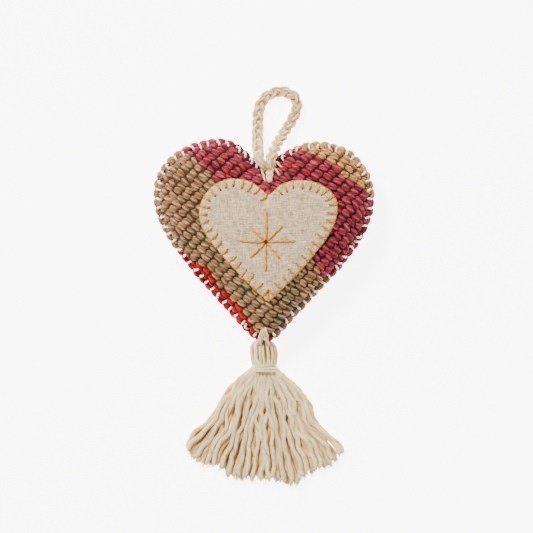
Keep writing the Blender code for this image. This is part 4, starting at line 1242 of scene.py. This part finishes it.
def make_skirt():
    shine = Bag()
    fray = Bag()
    for count, layer, layer_shade in FAN_LAYERS:
        bag = Bag()
        for number in range(count):
            u = 2 * (number + 0.5) / count - 1.0
            u = float(np.clip(u + RANDOM.uniform(-0.4, 0.4) / count, -1.0, 1.0))
            t, length, path = skirt_yarn(u, layer)
            # The layer's painted shade fades out over the last share of each yarn, so its end is paler.
            shade_fade = np.clip((t - 1.0 + UNSHADED_END) / UNSHADED_END, 0.0, 1.0)[:, None, None] ** 1.5
            shaded_tone = layer_shade + (1.0 - np.array(layer_shade)) * UNSHADED_END_MIX * shade_fade
            colour = CREAM * RANDOM.uniform(0.9, 1.08) * shaded_tone
            # Painted shade in the ply grooves and on the sides that turn down.
            add_yarn(bag, path, YARN_RADIUS * RANDOM.uniform(0.92, 1.1), colour, sides=12, **SOFT,
                     pitch=RANDOM.uniform(9.0, 14.0), blunt=0.7, groove_shade=colour * SOFT_GROOVE_SHADE,
                     under=WARM_SIDE_SHADE, below=CREAM * RANDOM.uniform(0.86, 1.0) if layer == 0 else None)
            if layer == TOP_LAYER or number % LUREX_EVERY == 0:
                angle = TURN * length / RANDOM.uniform(9.0, 15.0) + RANDOM.uniform(0, 6.3)
                orbit = YARN_RADIUS * (ORBIT + ORBIT_WAVE * np.sin(length * 1.7 + RANDOM.uniform(0, 6)))
                add_yarn(shine, wound(path, angle, orbit), TASSEL_LUREX, LUREX, sides=4, **PLAIN)
            add_fray(fray, path[-1], unit(path[-1] - path[-4]))
        replaced = ["tassel"] if layer == TOP_LAYER else []
        bag.build(f"tassel_skirt_{layer}", CREAM_YARN, replaced)
    shine.build("tassel_lurex", LUREX_FILM)
    fray.build("tassel_fray", CREAM_YARN)


FIBRES = 8
FIBRE_RADIUS = 0.24
FIBRE_LOW = 0.15


def add_fray(bag, tip, way):
    """Loose fibres at the cut end of a yarn."""
    for _ in range(FIBRES):
        swing = RANDOM.normal(0.0, 0.28, 3) * np.array([1.0, 1.0, 0.5])
        length = RANDOM.uniform(0.7, 1.6)
        start = tip - way * 0.9 + RANDOM.normal(0.0, 0.42, 3) * np.array([1.0, 1.0, 0.6])
        path = np.array([start, start + (way + 0.5 * swing) * length * 0.5, start + (way + swing) * length])
        path[:, 2] = np.maximum(path[:, 2], FIBRE_LOW)
        add_yarn(bag, path, FIBRE_RADIUS, CREAM * 1.1, sides=5, taper=0.6, **PLAIN)


def oval(angle, wide, deep, y):
    """Places at angles round the tassel's middle, at the height y of the picture."""
    x = wide * np.sin(angle)
    return np.stack(np.broadcast_arrays(x, y, TASSEL_MIDDLE_HEIGHT + deep * np.cos(angle)), axis=-1)


# Head of the tassel: yarns folded over its top and gathered at its waist, round a dark core of painted shade
HEAD_SHARES = (0.0, 0.12, 0.3, 0.5, 0.75, 1.0)
HEAD_SWELLS = (0.55, 0.82, 1.01, 1.05, 1.02, 0.95)
HEAD_YARNS = 27
HEAD_YARN = 0.74
HEAD_CROWN = 1.7
HEAD_LEAN = 0.9
HEAD_SWAY = 0.12
HEAD_TUCK = 1.6
CROWN_SHARE = 0.1
CORE_SHARE = 0.84
CORE_DROP = 0.6
CORE_SIDES = 20
CORE_ROWS = 12


def head_yarn(angle, sway):
    """A yarn's way from the top of the head to the waist."""
    path = []
    for share in np.linspace(0.0, 1.0, 16):
        swell = np.interp(share, HEAD_SHARES, HEAD_SWELLS)
        draw = 0.5 + 5.0 * share if share < CROWN_SHARE else 1.0
        wide = (0.5 * HEAD_WIDTH * swell - HEAD_YARN) * draw
        deep = (0.5 * HEAD_DEPTH * swell - HEAD_YARN) * draw
        y = HEAD_CROWN - TASSEL_TOP_DROP - (HEAD_LENGTH + HEAD_CROWN) * share
        place = oval(angle + sway * math.sin(math.pi * share), wide, deep, y)
        path.append(place + np.array([HEAD_LEAN * (share - 1.0), 0.0, 0.0]))
    path.append(oval(angle, 0.5 * WAIST_WIDTH, 0.4 * WAIST_DEPTH, WAIST_TOP - HEAD_TUCK))
    return smooth_path(path, 0.4)


def make_head():
    bag = Bag()
    for number in range(HEAD_YARNS):
        angle = TURN * (number + RANDOM.uniform(-0.35, 0.35)) / HEAD_YARNS
        path = head_yarn(angle, RANDOM.normal(0.0, HEAD_SWAY))
        tone = RANDOM.uniform(0.9, 1.08)
        outward = np.array([math.sin(angle), 0.0, math.cos(angle)])
        # Painted shade in the ply grooves and, deeper, on the side that turns in towards the core.
        add_yarn(bag, path, HEAD_YARN, CREAM * tone, reference=outward, sides=9, **SOFT, pitch=9.0,
                 groove_shade=CREAM * tone * SOFT_GROOVE_SHADE, under=DEEP_SIDE_SHADE)
    angles = circle(CORE_SIDES)
    rows = []
    for share in np.linspace(0.0, 1.0, CORE_ROWS):
        swell = 0.5 * CORE_SHARE * np.interp(share, HEAD_SHARES, HEAD_SWELLS)
        y = -TASSEL_TOP_DROP - CORE_DROP - HEAD_LENGTH * share
        rows.append(oval(angles, HEAD_WIDTH * swell, HEAD_DEPTH * swell, y))
    rows.insert(0, np.repeat(rows[0].mean(axis=0)[None], CORE_SIDES, axis=0))
    # The dark core: painted shade that shows between the head's yarns.
    bag.add(np.vstack(rows), grid_faces(len(rows), CORE_SIDES), CREAM_SHADE * 0.6, np.zeros(3))
    bag.build("tassel_head", CREAM_YARN)


# Turns of yarn round the waist: places along it, tilts and radii. The upper one rises to the right.
WRAPS = ((0.95, 0.09, 0.85), (-0.5, 0.0, 0.72), (-1.5, -0.04, 0.62))
WRAP_REACH = 1.7


def make_wraps():
    bag = Bag()
    angles = np.linspace(math.pi, 3 * math.pi, 64)
    for along, tilt, radius in WRAPS:
        wide = 0.5 * WAIST_WIDTH + WRAP_REACH - radius
        deep = 0.5 * WAIST_DEPTH + WRAP_REACH - radius
        y = WAIST_TOP - 0.5 * WAIST_LENGTH + along + tilt * wide * np.sin(angles)
        # Painted shade in the ply grooves.
        add_yarn(bag, oval(angles, wide, deep, y), radius, CREAM * 1.03, reference=(0.0, 1.0, 0.0), sides=9,
                 **SOFT, pitch=7.0, groove_shade=CREAM * SOFT_GROOVE_SHADE, blunt=0.1)
    bag.build("tassel_wraps", CREAM_YARN, ["tassel_binding"])


# Short yarn loops that tie the tassel to the tip of the heart: places of apex and foot, and radii
TIES = ((-0.5, -3.2, 0.95), (-0.3, -1.9, 0.8), (0.2, 1.3, 0.98))


def make_tie():
    bag = Bag()
    for apex, foot, radius in TIES:
        rim_x = apex + 0.65 * (foot - apex)
        top = float(front_top((apex, 4.6))) + 1.2
        rim = float(front_top((rim_x, 1.8))) + 1.6
        path = [(apex, 6.4, top - 1.0), (apex + 0.1 * (foot - apex), 5.2, top + 0.6), (rim_x, 1.6, rim),
                (0.92 * foot, -0.6, SEAM_HEIGHT + 1.4), (foot, -2.2, SEAM_HEIGHT - 0.4), (foot, -3.6, 7.6)]
        add_yarn(bag, smooth_path(path, 0.35), radius, CREAM, reference=(1.0, 0.0, 0.0), sides=12, pitch=7.0,
                 **PLIED)
    bag.build("tip_tie", CREAM_YARN, ["tassel_tie"])


make_skirt()
make_head()
make_wraps()
make_tie()

# Floor, lights and sky
FLOOR_REACH = 3.0
FLOOR_COLOUR = (0.95, 0.93, 0.925, 1.0)
FLOOR_GLOW = (1.0, 0.955, 0.945, 1.0)
FLOOR_LIGHT = 6.4
LIT_PLACE = Vector((0.0, 0.02, 0.0))
SKY_COLOUR = (1.0, 0.99, 0.985, 1.0)
SKY_LIGHT = 0.75


def make_floor():
    mesh = bpy.data.meshes.new("floor")
    corners = ((-1, -1), (1, -1), (1, 1), (-1, 1))
    mesh.from_pydata([(x * FLOOR_REACH, y * FLOOR_REACH, 0.0) for x, y in corners], [], [(0, 1, 2, 3)])
    floor = add_object("floor", mesh)
    material, tree, shader = new_material("floor_paper", 0.9)
    set_inputs(tree, shader, {"Base Color": FLOOR_COLOUR, "Emission Color": FLOOR_GLOW,
                              "Emission Strength": FLOOR_LIGHT})
    mesh.materials.append(material)


def area_light(name, place, size, power, colour=(1.0, 1.0, 1.0)):
    data = bpy.data.lights.new(name, "AREA")
    data.shape = "DISK"
    data.size = size
    data.energy = power
    data.color = colour
    light = add_object(name, data)
    light.location = place
    light.rotation_euler = (LIT_PLACE - Vector(place)).to_track_quat("-Z", "Y").to_euler()


make_floor()
area_light("key", (-0.55, 0.75, 0.95), 0.4, 50.0, colour=(1.0, 0.98, 0.95))
area_light("fill", (0.9, -0.5, 1.2), 1.2, 6.0)
world = bpy.data.worlds.new("sky")
bpy.context.scene.world = world
world.use_nodes = True
sky = world.node_tree.nodes["Background"]
set_inputs(world.node_tree, sky, {"Color": SKY_COLOUR, "Strength": SKY_LIGHT})
